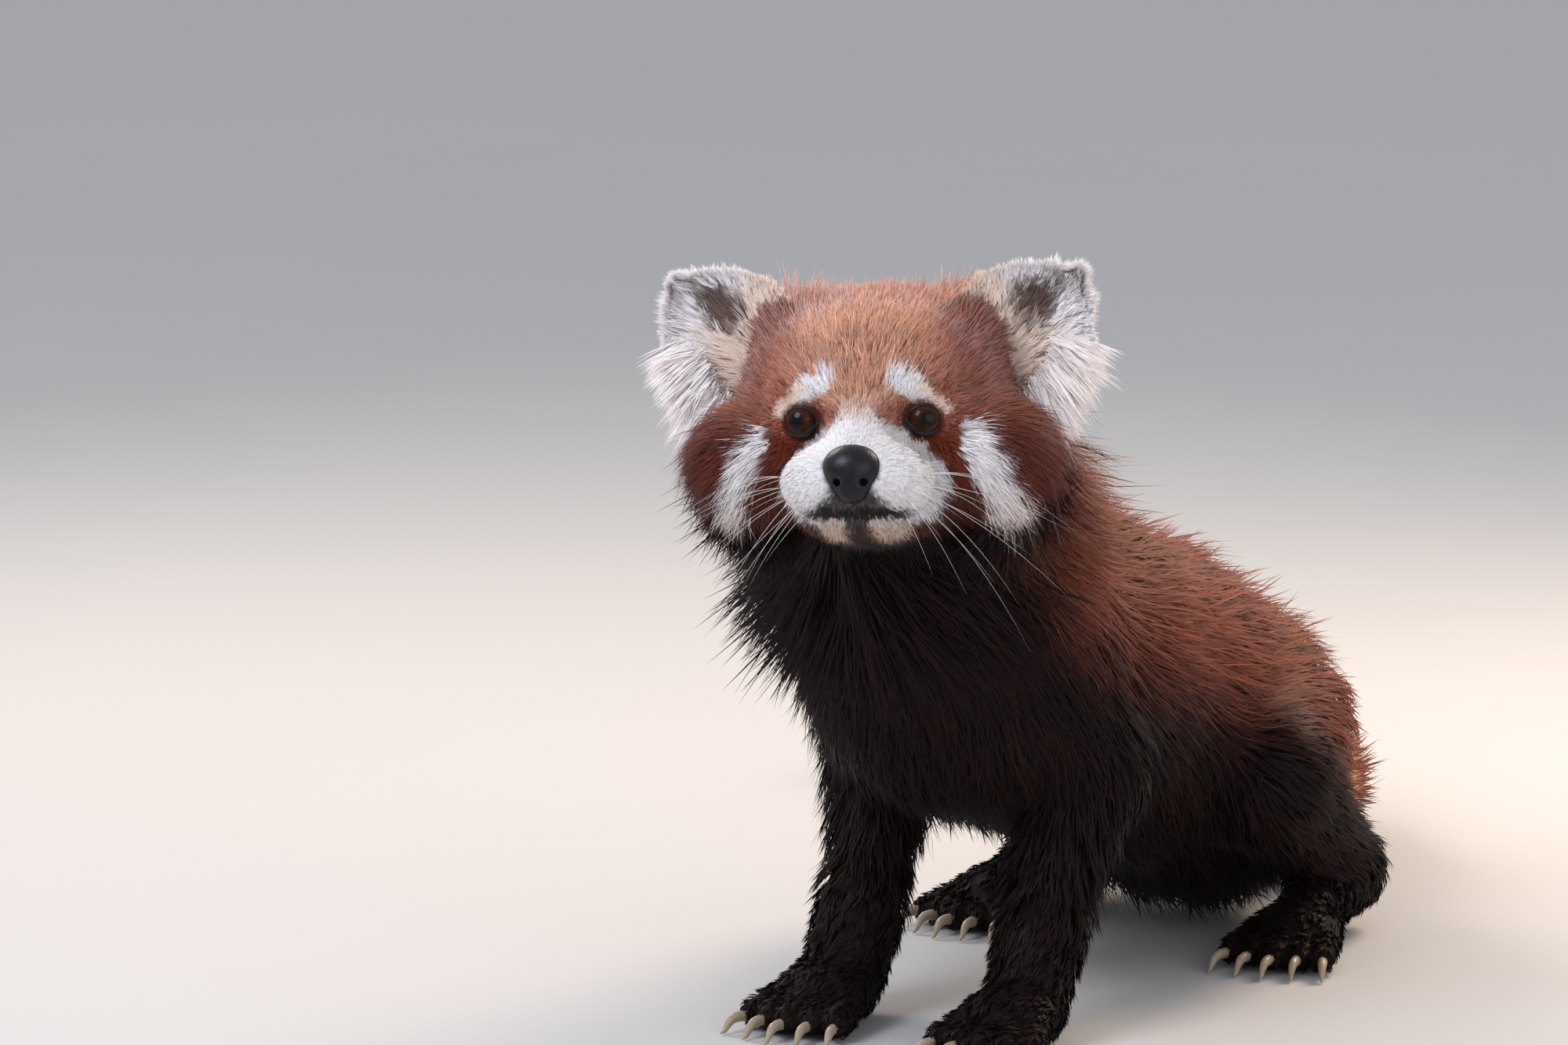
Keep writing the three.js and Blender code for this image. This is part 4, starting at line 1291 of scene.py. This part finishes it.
class PANDA_OT_skin(bpy.types.Operator):
    """Skin of the whole body, which the flesh of the part gives way to"""

    bl_idname = "panda.skin"
    bl_label = "Skin"

    def execute(self, context):
        field = the_field()
        places, faces = STATE["skin"]
        weights = region_weights(field, places)
        tones = markings(places, weights)
        # painted shade beneath the coat: the skin takes the markings darkened, less where the hair is pale
        tones = tones * (0.6 + 0.25 * paleness(tones))
        material = marked_material("skin", 0.75, 0.02, 350, 0.0008, 0.2)
        shader_of(material).inputs["Specular IOR Level"].default_value = 0.1
        skin = mesh_object("skin", places, faces, material, tones)
        flesh = [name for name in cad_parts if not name.startswith(("eye_", "ear_", "nose"))]
        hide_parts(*flesh)
        return {"FINISHED"}


class PANDA_OT_coat(bpy.types.Operator):
    """Hair of the head, body, legs and tail, in locks that follow its lie"""

    bl_idname = "panda.coat"
    bl_label = "Coat"

    def execute(self, context):
        field = the_field()
        places, quads = STATE["skin"]
        faces = triangles(quads)
        middles = places[faces].mean(1)
        here = to_head(middles)
        weights = region_weights(field, middles)
        lay = lay_of(field, middles, weights)
        grows = (middles[:, 2] > 3) & ~(nearest_region(weights, "head") & is_bare(here))
        density = grows / (lay.length + 5)
        for number, piece in enumerate(coat_pieces()):
            rng = np.random.default_rng([SEED, number])
            weight = density * piece.chosen(middles, here, weights)
            roots = roots_on(places, faces, weight, fewer(piece.locks), rng)
            paths, outs, size, tone = lock_paths(field, roots, piece.steps, rng)
            shrink = np.clip(size / np.median(size), 0.35, 1.5)
            spots = unwrap_about_face(roots) if piece.course is None else unwrap_round(roots, piece.course)
            material = fur_material("head" if piece.course is None else "body")
            coat = coat_object(piece.name, (paths, outs, tone), rng, piece.cut, piece.radius * shrink,
                               piece.width * np.sqrt(shrink), spots, material)
        return {"FINISHED"}


EYE_RINGS = 40
EYE_SIDES = 64
PUPIL_ANGLE = math.radians(19)
IRIS_ANGLE = math.radians(52)
PUPIL_TONE = 0.002
EYE_EDGE_TONE = vec(0.012, 0.008, 0.008)
LID_SCALES = [0.98, 0.99, 1.04, 1.13, 1.23, 1.31, 1.36]
LID_RISES = [-1.0, 0.2, 0.7, 0.75, 0.1, -1.6, -4.0]


def eye_frame(side):
    facing = eye_facing(side)
    level = unit(np.cross(facing, head_way(vec(0, 0, 1))))
    return facing, level, np.cross(level, facing)


class PANDA_OT_eyes(bpy.types.Operator):
    """Eyeballs with pupil, iris and wet gloss, and the dark lids round them"""

    bl_idname = "panda.eyes"
    bl_label = "Eyes"

    def execute(self, context):
        material = marked_material("eye", 0.04, 0.0, 1500, 0.00001, 0.12)
        shader_of(material).inputs["Specular IOR Level"].default_value = 0.17
        lid_material = marked_material("lid", 0.38, 0.1, 1200, 0.0002, 0.2, tuple(shade("nose") * 1.1))
        for side, name in SIDE_NAMES:
            facing, level, up = eye_frame(side)
            centre = eye_at(side)
            polar = np.linspace(0, math.pi, EYE_RINGS)
            angles = round_angles(EYE_SIDES)
            rings, tones = [], []
            for angle in polar:
                bulge = EYE_RADIUS + 0.35 * (1 - soft(angle, 0.5, 1.0))
                spot = (np.cos(angles)[:, None] * level + np.sin(angles)[:, None] * up) * math.sin(angle)
                rings.append(centre + bulge * (spot + facing * math.cos(angle)))
                fibres = 1 + 0.25 * np.sin(angles * 23 + 3 * np.sin(angles * 5)) * np.sin(angles * 9)
                iris = shade("eye") * fibres[:, None] * (0.7 + 0.6 * soft(angle, PUPIL_ANGLE, IRIS_ANGLE))
                in_pupil = 1 - soft(angle, PUPIL_ANGLE - 0.05, PUPIL_ANGLE + 0.12)
                at_edge = soft(angle, IRIS_ANGLE - 0.06, IRIS_ANGLE + 0.1)
                tone = iris * (1 - in_pupil) + PUPIL_TONE * in_pupil
                tones.append(tone * (1 - at_edge) + EYE_EDGE_TONE * at_edge)
            places, faces = ring_mesh(rings)
            ball = mesh_object(f"eyeball_{name}", places, faces[:, ::-1], material, np.vstack(tones))
            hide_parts(f"eye_{name}")
            rim = mesh_object(f"lids_{name}", *self.lids(side), lid_material)
        return {"FINISHED"}

    @staticmethod
    def lids(side):
        """Rings from the wet edge on the eyeball out over the rim and down to the skin."""
        facing, level, up = eye_frame(side)
        centre = eye_at(side)
        angles = round_angles(EYE_SIDES)
        outer_corner = np.maximum(np.cos(angles) * side, 0)**6
        inner_corner = np.maximum(np.cos(angles) * -side, 0)**6
        wide = 6.0 + 1.1 * outer_corner + 1.3 * inner_corner
        tall = np.where(np.sin(angles) > 0, 5.3, 5.2)
        slant = 0.5 * side * np.cos(angles)
        outline = np.stack([wide * np.cos(angles), tall * np.sin(angles) + slant], -1)
        rings = []
        for scale, rise in zip(LID_SCALES, LID_RISES):
            flat = outline * scale
            reach = np.hypot(flat[:, 0], flat[:, 1])
            depth = np.sqrt(np.maximum(EYE_RADIUS**2 - np.minimum(reach, EYE_RADIUS * 0.93)**2, 0))
            rings.append(centre + flat[:, :1] * level + flat[:, 1:] * up + (depth + rise)[:, None] * facing)
        places, faces = ring_mesh(rings)
        return places, faces


NOSE_STEP = 0.55
NOSE_LOW = vec(-14, -48, -33)
NOSE_HIGH = vec(14, -20, -5)
NOSTRIL_COURSE = np.array([[4.8, -37, -21.6], [5.4, -44.5, -21.2], [11.2, -44, -18.2]])
NOSTRIL_RADII = [1.1, 1.5, 0.9]
# painted shade inside the nostrils
NOSTRIL_SHADE = 0.001
LIP_STATIONS = 25
LIP_RADIUS = 0.45
LIP_SPLIT_RADIUS = 0.7


class PANDA_OT_nose(bpy.types.Operator):
    """Bare nose with its nostrils, and the dark lips"""

    bl_idname = "panda.nose"
    bl_label = "Nose and lips"

    def execute(self, context):
        pad = [Mass([0, -34, -16.5], [11.7, 10.2, 9.6]), Mass([0, -35.5, -22.5], [7.4, 8.2, 7.6])]
        tubes = []
        for side in SIDES:
            tubes += chain(NOSTRIL_COURSE * vec(side, 1, 1), NOSTRIL_RADII, 0)
        groove = capsule([0, -46, -20], 0.5, [0, -44, -30], 0.9, 0)
        axes = [np.arange(low, high, NOSE_STEP) for low, high in zip(NOSE_LOW, NOSE_HIGH)]
        grid = grid_of(axes)
        values = Flesh(pad, 3).distance(grid)
        for tube in tubes:
            values = -smooth_min(-values, tube.distance(grid), 1.6)
        values = -smooth_min(-values, groove.distance(grid), 0.8)
        places, faces = surface_nets(axes, values)
        # painted shade: the inside of each nostril coloured nearly black
        inside = soft(-np.min([tube.distance(places) for tube in tubes], axis=0), -0.7, 0.1)[:, None]
        tones = shade("nose") * (1 - inside) + NOSTRIL_SHADE * inside
        material = marked_material("nose_leather", 0.42, 0.0, 900, 0.0003, 0.2)
        tree = material.node_tree
        attribute = next(n for n in tree.nodes if n.bl_idname == "ShaderNodeAttribute")
        dull = ranged(tree, attribute.outputs["Fac"], 1.0, 0.32)
        dull.node.inputs["From Max"].default_value = 0.003
        pebbles = node(tree, "ShaderNodeTexVoronoi", Scale=1500.0)
        tree.links.new(tree.nodes.new("ShaderNodeTexCoord").outputs["Object"], pebbles.inputs["Vector"])
        shader = shader_of(material)
        tree.links.new(dull, shader.inputs["Roughness"])
        shader.inputs["Specular IOR Level"].default_value = 0.3
        bump(tree, shader, pebbles.outputs["Distance"], 0.25, 0.0003)
        nose = mesh_object("nose_pad", on_head(places), faces, material, tones)
        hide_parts("nose")
        lip_material = marked_material("lips", 0.5, 0.0, 900, 0.0003, 0.2, tuple(shade("nose")))
        lips = mesh_object("lips", *self.lips(), lip_material)
        return {"FINISHED"}

    @staticmethod
    def lips():
        """A dark edge along the mouth, from corner to corner under the muzzle, and up to the nose."""
        field = the_field()
        course = []
        for share in np.linspace(-1, 1, LIP_STATIONS):
            inner = vec(12.5 * share, 6, -35 + 2 * share * share)
            way = vec(share * 0.9, abs(share) * 0.75 - 1.15, 0)
            course.append(surface_along(field, on_head(inner), unit(head_way(way))))
        radii = LIP_RADIUS * np.sqrt(np.sin(np.linspace(0.06, math.pi - 0.06, LIP_STATIONS)))
        parts = [ring_mesh(tube_rings(course, radii, 8), True, True)]
        ahead = head_way(vec(0, -1, 0))
        split = [surface_along(field, on_head(vec(0, -20, z)), ahead) for z in np.linspace(-27, -35, 6)]
        parts.append(ring_mesh(tube_rings(split, [LIP_SPLIT_RADIUS] * len(split), 6, up=ahead), True, True))
        return joined(parts)


LONGEST_RAY = 60


def surface_along(field, start, way, sink=0.2):
    """Where a ray from inside leaves the skin."""
    low, high = 0.0, float(LONGEST_RAY)
    for reach in np.arange(1, LONGEST_RAY, 1.0):
        if field.exact((start + way * reach)[None])[0] > 0:
            low, high = reach - 1, reach
            break
    for _ in range(10):
        middle = (low + high) / 2
        if field.exact((start + way * middle)[None])[0] > 0:
            high = middle
        else:
            low = middle
    return start + way * (low - sink)


# Ears: cupped leaves, given by how far across and how far from root to tip
EAR_STATIONS = [0, 0.2, 0.42, 0.64, 0.84, 1]
EAR_HALF_WIDTHS = [25, 27, 26, 20.5, 12, 4]
EAR_HEIGHT = 46
EAR_COLUMNS = 28
EAR_ROWS = 26


def ear_place(side, across, share, is_back):
    """Places on an ear's front or back, on the head's axes."""
    root = vec(48 * side, 50, 20)
    axis = unit(vec(32 * side, 2, 33)) * EAR_HEIGHT
    wide = unit(vec(0.7 * side, 0.1, -0.7))
    back = unit(np.cross(axis, wide) * side)
    half = np.interp(share, EAR_STATIONS, EAR_HALF_WIDTHS)
    half = half * np.sqrt(1 - 0.55 * soft(share, 0.8, 1.0) * across**2)
    cup = 11.5 - 6 * share
    thick = (6.5 - 3.5 * share) * np.sqrt(np.maximum(1 - across**2 * 0.98, 0))
    depth = cup * (1 - across**2) + (thick if is_back else 0)
    crumple = 0.8 * np.sin(7 * across + 3 * share) * (1 - share)
    on_leaf = share[..., None] * axis + (across * half)[..., None] * wide
    return root + on_leaf + (depth + crumple)[..., None] * back


def ear_markings(across, share, is_back):
    if is_back:
        tone = np.repeat(shade("crown")[None], len(across), 0)
        tone = paint(tone, "back", 1 - soft(share, 0.1, 0.5))
        rim = np.maximum(soft(np.abs(across), 0.6, 0.8), soft(share, 0.68, 0.82))
        # painted light: the white rim raised above its own colour
        return paint(tone, "white", rim, 1.1)
    # painted light: the front's white and cream raised above their own colours, for the glow of light through
    # the ear and into its hollow
    tone = np.repeat(shade("white")[None] * 1.12, len(across), 0)
    tone = paint(tone, "cream", (1 - soft(share, 0.3, 0.75)) * 0.85, 1.1)
    tone = paint(tone, "crown", (1 - soft(share, -0.04, 0.07)) * (1 - soft(across, -0.3, 0.2)))
    dark = np.hypot((across + 0.26) / 0.54, (share - 0.58 + 0.15 * across) / 0.31)
    return paint(tone, "ear_inner", (1 - soft(dark, 0.45, 1.1)) * 0.95)


class PANDA_OT_ears(bpy.types.Operator):
    """Ears with their hair, dark centres, white rims and long tufts"""

    bl_idname = "panda.ears"
    bl_label = "Ears"

    def execute(self, context):
        skin = marked_material("ear_skin", 0.7, 0.2, 500, 0.0004, 0.15)
        for number, (side, name) in enumerate(SIDE_NAMES):
            across = np.linspace(-1, 1, EAR_COLUMNS)
            share = np.linspace(-0.18, 1, EAR_ROWS)
            rings, tones = [], []
            for s in share:
                row = np.full(EAR_COLUMNS, s)
                front = ear_place(side, across, row, False)
                back = ear_place(side, across, row, True)[::-1]
                rings.append(np.vstack([front, back]))
                tones += [ear_markings(across, row, False), ear_markings(across[::-1], row, True)]
            places, faces = ring_mesh(rings, True, True)
            faces = triangles(faces)
            faces = faces if side < 0 else faces[:, ::-1]
            tones = np.vstack(tones + [tones[0][:1], tones[-2][:1]])
            leaf = mesh_object(f"ear_leaf_{name}", on_head(places), faces, skin, tones)
            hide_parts(f"ear_{name}")
            rng = np.random.default_rng([SEED, 100 + number])
            self.hair(side, name, rng)
        return {"FINISHED"}

    @staticmethod
    def hair(side, name, rng):
        parts = []
        for is_back, count, size, stands in ((False, 2500, 12, 0.16), (True, 700, 8, 0.15)):
            across = rng.uniform(-1, 1, fewer(count))
            share = rng.uniform(-0.1, 1, fewer(count))
            parts.append(ear_locks(side, across, share, is_back, size, rng, stands))
        rim = rng.uniform(-1, 1, fewer(500))
        share = np.minimum((1 - np.abs(rim)) / 0.38, 1)
        parts.append(ear_locks(side, np.clip(rim / 0.62, -1, 1), share, False, 8, rng, 0.2))
        parts.append(ear_tufts(side, fewer(300), rng))
        paths, outs, tone, spots, radius, width = (np.concatenate(column) for column in zip(*parts))
        locks = on_head(paths), head_way(outs), tone
        coat = coat_object(f"coat_ear_{name}", locks, rng, EAR_CUT, radius, width, spots, fur_material("ear"))


def ear_locks(side, across, share, is_back, size, rng, stands):
    """Short locks on one face of an ear, combed towards its rim and tip."""
    step = 0.02
    root = ear_place(side, across, share, is_back)
    beyond = ear_place(side, np.clip(across + step, -1, 1), share, is_back)
    before = ear_place(side, np.clip(across - step, -1, 1), share, is_back)
    by_across = beyond - before
    by_share = ear_place(side, across, share + step, is_back) - ear_place(side, across, share - step, is_back)
    out = unit(np.cross(by_across, by_share))
    towards = vec(0, 1, 0) if is_back else vec(0, -1, 0)
    out = out * np.sign((out @ towards).mean())
    sweep = 1.1 * across
    rise = 0.6
    flow = unit(unit(by_across) * sweep[:, None] + unit(by_share) * rise + rng.normal(0, 0.14, out.shape))
    edge = soft(np.maximum(np.abs(across), soft(share, 0.6, 1.0)), 0.5, 1.0)
    size = size * rng.uniform(0.75, 1.2, len(root)) * (1 - 0.4 * edge)
    stands = stands * (1 - 0.6 * edge)
    lit = out if is_back else unit(out + vec(0, -0.15, 0.25))
    stations = []
    for s in np.linspace(0, 1, 4):
        above = size * stands * s * (1.4 - 0.4 * s) + 0.1
        stations.append(root + flow * (size * s)[:, None] + out * above[:, None])
    jitter = rng.normal(0, 0.03, (2, len(root)))
    half = np.interp(share, EAR_STATIONS, EAR_HALF_WIDTHS)
    slant = np.hypot(sweep, rise)
    seen_across = across + 0.5 * size * sweep / slant / half
    seen_share = share + 0.5 * size * rise / slant / EAR_HEIGHT
    tone = ear_markings(np.clip(seen_across + jitter[0], -1, 1), seen_share + jitter[1], is_back)
    spots = np.stack([0.27 + 0.2 * across + (0.46 if is_back else 0), 0.1 + 0.75 * np.clip(share, 0, 1)], -1)
    ones = np.ones(len(root))
    return np.stack(stations, 1), np.repeat(lit[:, None], 4, 1), tone, spots, 1.5 * ones, 0.42 * ones


def ear_tufts(side, count, rng):
    """Long white hair from the lower outer edge of an ear."""
    share = rng.uniform(0, 1, count)
    root = np.stack([(60 + 16 * share) * side, 50 + rng.normal(0, 3, count), 2 + 26 * share], -1)
    root += rng.normal(0, 2, root.shape)
    way = unit(np.stack([(0.35 + 0.5 * share) * side, np.full(count, -0.05), -1 + 0.6 * share], -1)
               + rng.normal(0, 0.12, (count, 3)))
    out = unit(np.tile([0.3 * side, -1, 0.1], (count, 1)))
    size = sizes().ear_tuft / MM * (1 - 0.3 * share) * rng.uniform(0.7, 1.2, count)
    stations = [root + way * (size * s)[:, None] + out * (3 * s - 2.2 * s * s) + vec(0, 0, -3) * s * s
                for s in np.linspace(0, 1, 4)]
    # painted light: the tufts raised above the white, for light through the hair
    tone = np.repeat((0.8 * shade("white") + 0.2 * shade("cream"))[None] * 1.1, count, 0)
    spots = np.stack([0.1 + 0.8 * share, rng.uniform(0.9, 0.98, count)], -1)
    ones = np.ones(count)
    return np.stack(stations, 1), np.repeat(out[:, None], 4, 1), tone, spots, 2.2 * ones, 0.45 * ones


WHISKER_ROWS = 4
WHISKERS_IN_ROW = 4
BROW_WHISKERS = 2


class PANDA_OT_whiskers(bpy.types.Operator):
    """Long pale whiskers beside the nose, above the eyes and on the chin"""

    bl_idname = "panda.whiskers"
    bl_label = "Whiskers"

    def execute(self, context):
        rng = np.random.default_rng([SEED, 200])
        field = the_field()
        parts = []
        longest = sizes().whisker / MM
        for side in SIDES:
            for row in range(WHISKER_ROWS):
                for place in range(WHISKERS_IN_ROW):
                    inner = on_head(vec((8 + 2.2 * place) * side, -14, -20 - 3.4 * row))
                    ray = unit(head_way(vec((0.55 + 0.2 * place) * side, -0.8 + 0.2 * place, -0.05 * row)))
                    root = surface_along(field, inner, ray, 0.6)
                    way = unit(vec((0.75 + 0.1 * place) * side, -0.35 + 0.22 * place, 0.1 - 0.3 * row)
                               + rng.normal(0, 0.1, 3))
                    size = longest * (0.45 + 0.18 * place) * rng.uniform(0.6, 1.05)
                    parts.append(self.whisker(root, way, size, 0.1, rng.uniform(0.15, 0.5)))
            for i in range(BROW_WHISKERS):
                inner = on_head(vec((18 + 4 * i) * side, 10, 14))
                root = surface_along(field, inner, unit(head_way(vec(0.1 * side, -1, 0.3))), 0.4)
                way = unit(vec(0.35 * side + 0.15 * i * side, -0.25, 0.9) + rng.normal(0, 0.06, 3))
                parts.append(self.whisker(root, way, longest * rng.uniform(0.22, 0.34), 0.065, 0.15))
        places, faces = joined(parts)
        material = marked_material("whisker", 0.35, 0.0, 700, 0.0001, 0.1, linear("e8e2dc"))
        made = mesh_object("whiskers", places, faces, material)
        return {"FINISHED"}

    @staticmethod
    def whisker(root, way, size, radius, droop):
        """One whisker, thick at its root and bent by its own weight."""
        shares = np.linspace(0, 1, 9)
        course = [root + head_way(way) * size * s + vec(0, 0, -1) * size * droop * s * s for s in shares]
        course = [vec(p[0], p[1], max(p[2], 1.0)) for p in course]
        return ring_mesh(tube_rings(course, radius * (1 - 0.93 * shares), 5, up=(0.1, 1, 0.2)), True, True)


CLAW_LENGTH = 13
CLAW_RADII = [2.2, 1.8, 0.25]
CLAW_RINGS = 10


class PANDA_OT_claws(bpy.types.Operator):
    """Curved claws of all four feet"""

    bl_idname = "panda.claws"
    bl_label = "Claws"

    def execute(self, context):
        parts = []
        for side in SIDES:
            for is_fore in (True, False):
                for start, end in paw_toes(side, is_fore):
                    parts.append(self.claw(start, end))
        places, faces = joined(parts)
        material = marked_material("claw", 0.32, 0.0, 600, 0.0002, 0.25, tuple(shade("claw")))
        made = mesh_object("claws", places, faces, material)
        return {"FINISHED"}

    @staticmethod
    def claw(start, end):
        way = unit(end - start)
        middle = end + way * (TOE_RADIUS + CLAW_LENGTH * 0.45) + vec(0, 0, 1.5)
        tip = end + way * (TOE_RADIUS + CLAW_LENGTH * 0.9) + vec(0, 0, -TOE_RADIUS + 1.2)
        course = curve_through(np.array([end + way * TOE_RADIUS * 0.4, middle, tip]), CLAW_RINGS)
        radii = np.interp(np.linspace(0, 1, CLAW_RINGS), [0, 0.5, 1], CLAW_RADII)
        course[:, 2] = np.maximum(course[:, 2], 1.2 * radii + FLOOR_CLEARANCE)
        return ring_mesh(tube_rings(course, radii, 10, flatness=1.15), True, True)


# Stage
CAMERA_AZIMUTH = math.radians(30)
CAMERA_ELEVATION = math.radians(10)
CAMERA_DISTANCE = 3000
CAMERA_SENSOR = 36
PIXELS_PER_MM = 3.28
PICTURE_WIDTH = 2000
AIM_OFFSET = (100 / PIXELS_PER_MM, 130 / PIXELS_PER_MM)
CAMERA_REACH = 400
FLOOR_HALF = 80
WORLD_STRENGTH = 0.86
# Place back towards the camera, to the right and up, then size, watts and colour
LAMPS = {
    "key": ((900, -900, 900), 800, 16, "eaf0ff"),
    "fill": ((1200, 900, 100), 1100, 5, "f2f2ff"),
    "rim_right": ((-700, 800, 700), 450, 12, "ffe4c8"),
    "rim_left": ((-900, -600, 900), 500, 8, "fff0e0"),
}


class PANDA_OT_stage(bpy.types.Operator):
    """Pale floor, soft studio lights and the camera"""

    bl_idname = "panda.stage"
    bl_label = "Stage"

    def execute(self, context):
        scene = context.scene
        mesh = bpy.data.meshes.new("floor")
        corners = [(x * FLOOR_HALF, y * FLOOR_HALF, 0) for x, y in ((-1, -1), (1, -1), (1, 1), (-1, 1))]
        mesh.from_pydata(corners, [], [(0, 1, 2, 3)])
        material = marked_material("floor", 0.85, 0.0, 3, 0.0005, 0.02, linear("c2c0be"))
        mesh.materials.append(material)
        floor = bpy.data.objects.new("floor", mesh)
        scene.collection.objects.link(floor)
        world = bpy.data.worlds.new("studio")
        world.use_nodes = True
        background = world.node_tree.nodes["Background"]
        background.inputs["Color"].default_value = (*linear("e0e4ec"), 1)
        background.inputs["Strength"].default_value = WORLD_STRENGTH
        scene.world = world
        scene.view_settings.view_transform = "Standard"
        back = vec(math.sin(CAMERA_AZIMUTH) * math.cos(CAMERA_ELEVATION),
                   -math.cos(CAMERA_AZIMUTH) * math.cos(CAMERA_ELEVATION), math.sin(CAMERA_ELEVATION))
        right = vec(math.cos(CAMERA_AZIMUTH), math.sin(CAMERA_AZIMUTH), 0)
        up = np.cross(back, right)
        target = EYES_AT - AIM_OFFSET[0] * right - AIM_OFFSET[1] * up
        camera_data = bpy.data.cameras.new("camera")
        camera_data.sensor_width = CAMERA_SENSOR
        depth = CAMERA_DISTANCE - (EYES_AT - target) @ back
        camera_data.lens = PIXELS_PER_MM * depth / PICTURE_WIDTH * CAMERA_SENSOR
        camera_data.clip_end = CAMERA_REACH
        camera = bpy.data.objects.new("camera", camera_data)
        camera.location = to_frame(target + back * CAMERA_DISTANCE)
        camera.rotation_euler = Vector(-back).to_track_quat("-Z", "Y").to_euler()
        scene.collection.objects.link(camera)
        scene.camera = camera
        for name, (place, size, power, code) in LAMPS.items():
            self.light(name, target, place @ np.array([back, right, up]), size, power, code)
        return {"FINISHED"}

    @staticmethod
    def light(name, target, offset, size, power, code):
        data = bpy.data.lights.new(name, "AREA")
        data.size = size * MM
        data.energy = power
        data.color = linear(code)
        lamp = bpy.data.objects.new(name, data)
        lamp.location = to_frame(target + offset)
        lamp.visible_camera = False
        lamp.rotation_euler = Vector(-offset).to_track_quat("-Z", "Y").to_euler()
        bpy.context.scene.collection.objects.link(lamp)


OPERATORS = (PANDA_OT_skin, PANDA_OT_coat, PANDA_OT_eyes, PANDA_OT_nose, PANDA_OT_ears, PANDA_OT_whiskers,
             PANDA_OT_claws, PANDA_OT_stage)


class PANDA_PT_panel(bpy.types.Panel):
    """Pieces of the red panda, with its sizes and colours"""

    bl_idname = "PANDA_PT_panel"
    bl_label = "Red Panda"
    bl_space_type = "VIEW_3D"
    bl_region_type = "UI"
    bl_category = "Red Panda"

    def draw(self, context):
        for operator in OPERATORS:
            self.layout.operator(operator.bl_idname)
        for group in (context.scene.panda_sizes, context.scene.panda_colours):
            column = self.layout.column()
            for key in group.__annotations__:
                column.prop(group, key)


CLASSES = (PandaColours, PandaSizes, *OPERATORS, PANDA_PT_panel)


def register():
    for made in CLASSES:
        bpy.utils.register_class(made)
    bpy.types.Scene.panda_colours = bpy.props.PointerProperty(type=PandaColours)
    bpy.types.Scene.panda_sizes = bpy.props.PointerProperty(type=PandaSizes)


def unregister():
    del bpy.types.Scene.panda_sizes
    del bpy.types.Scene.panda_colours
    for made in reversed(CLASSES):
        bpy.utils.unregister_class(made)


def main():
    register()
    bpy.ops.panda.skin()
    bpy.ops.panda.coat()
    bpy.ops.panda.eyes()
    bpy.ops.panda.nose()
    bpy.ops.panda.ears()
    bpy.ops.panda.whiskers()
    bpy.ops.panda.claws()
    bpy.ops.panda.stage()


if __name__ == "__main__":
    main()
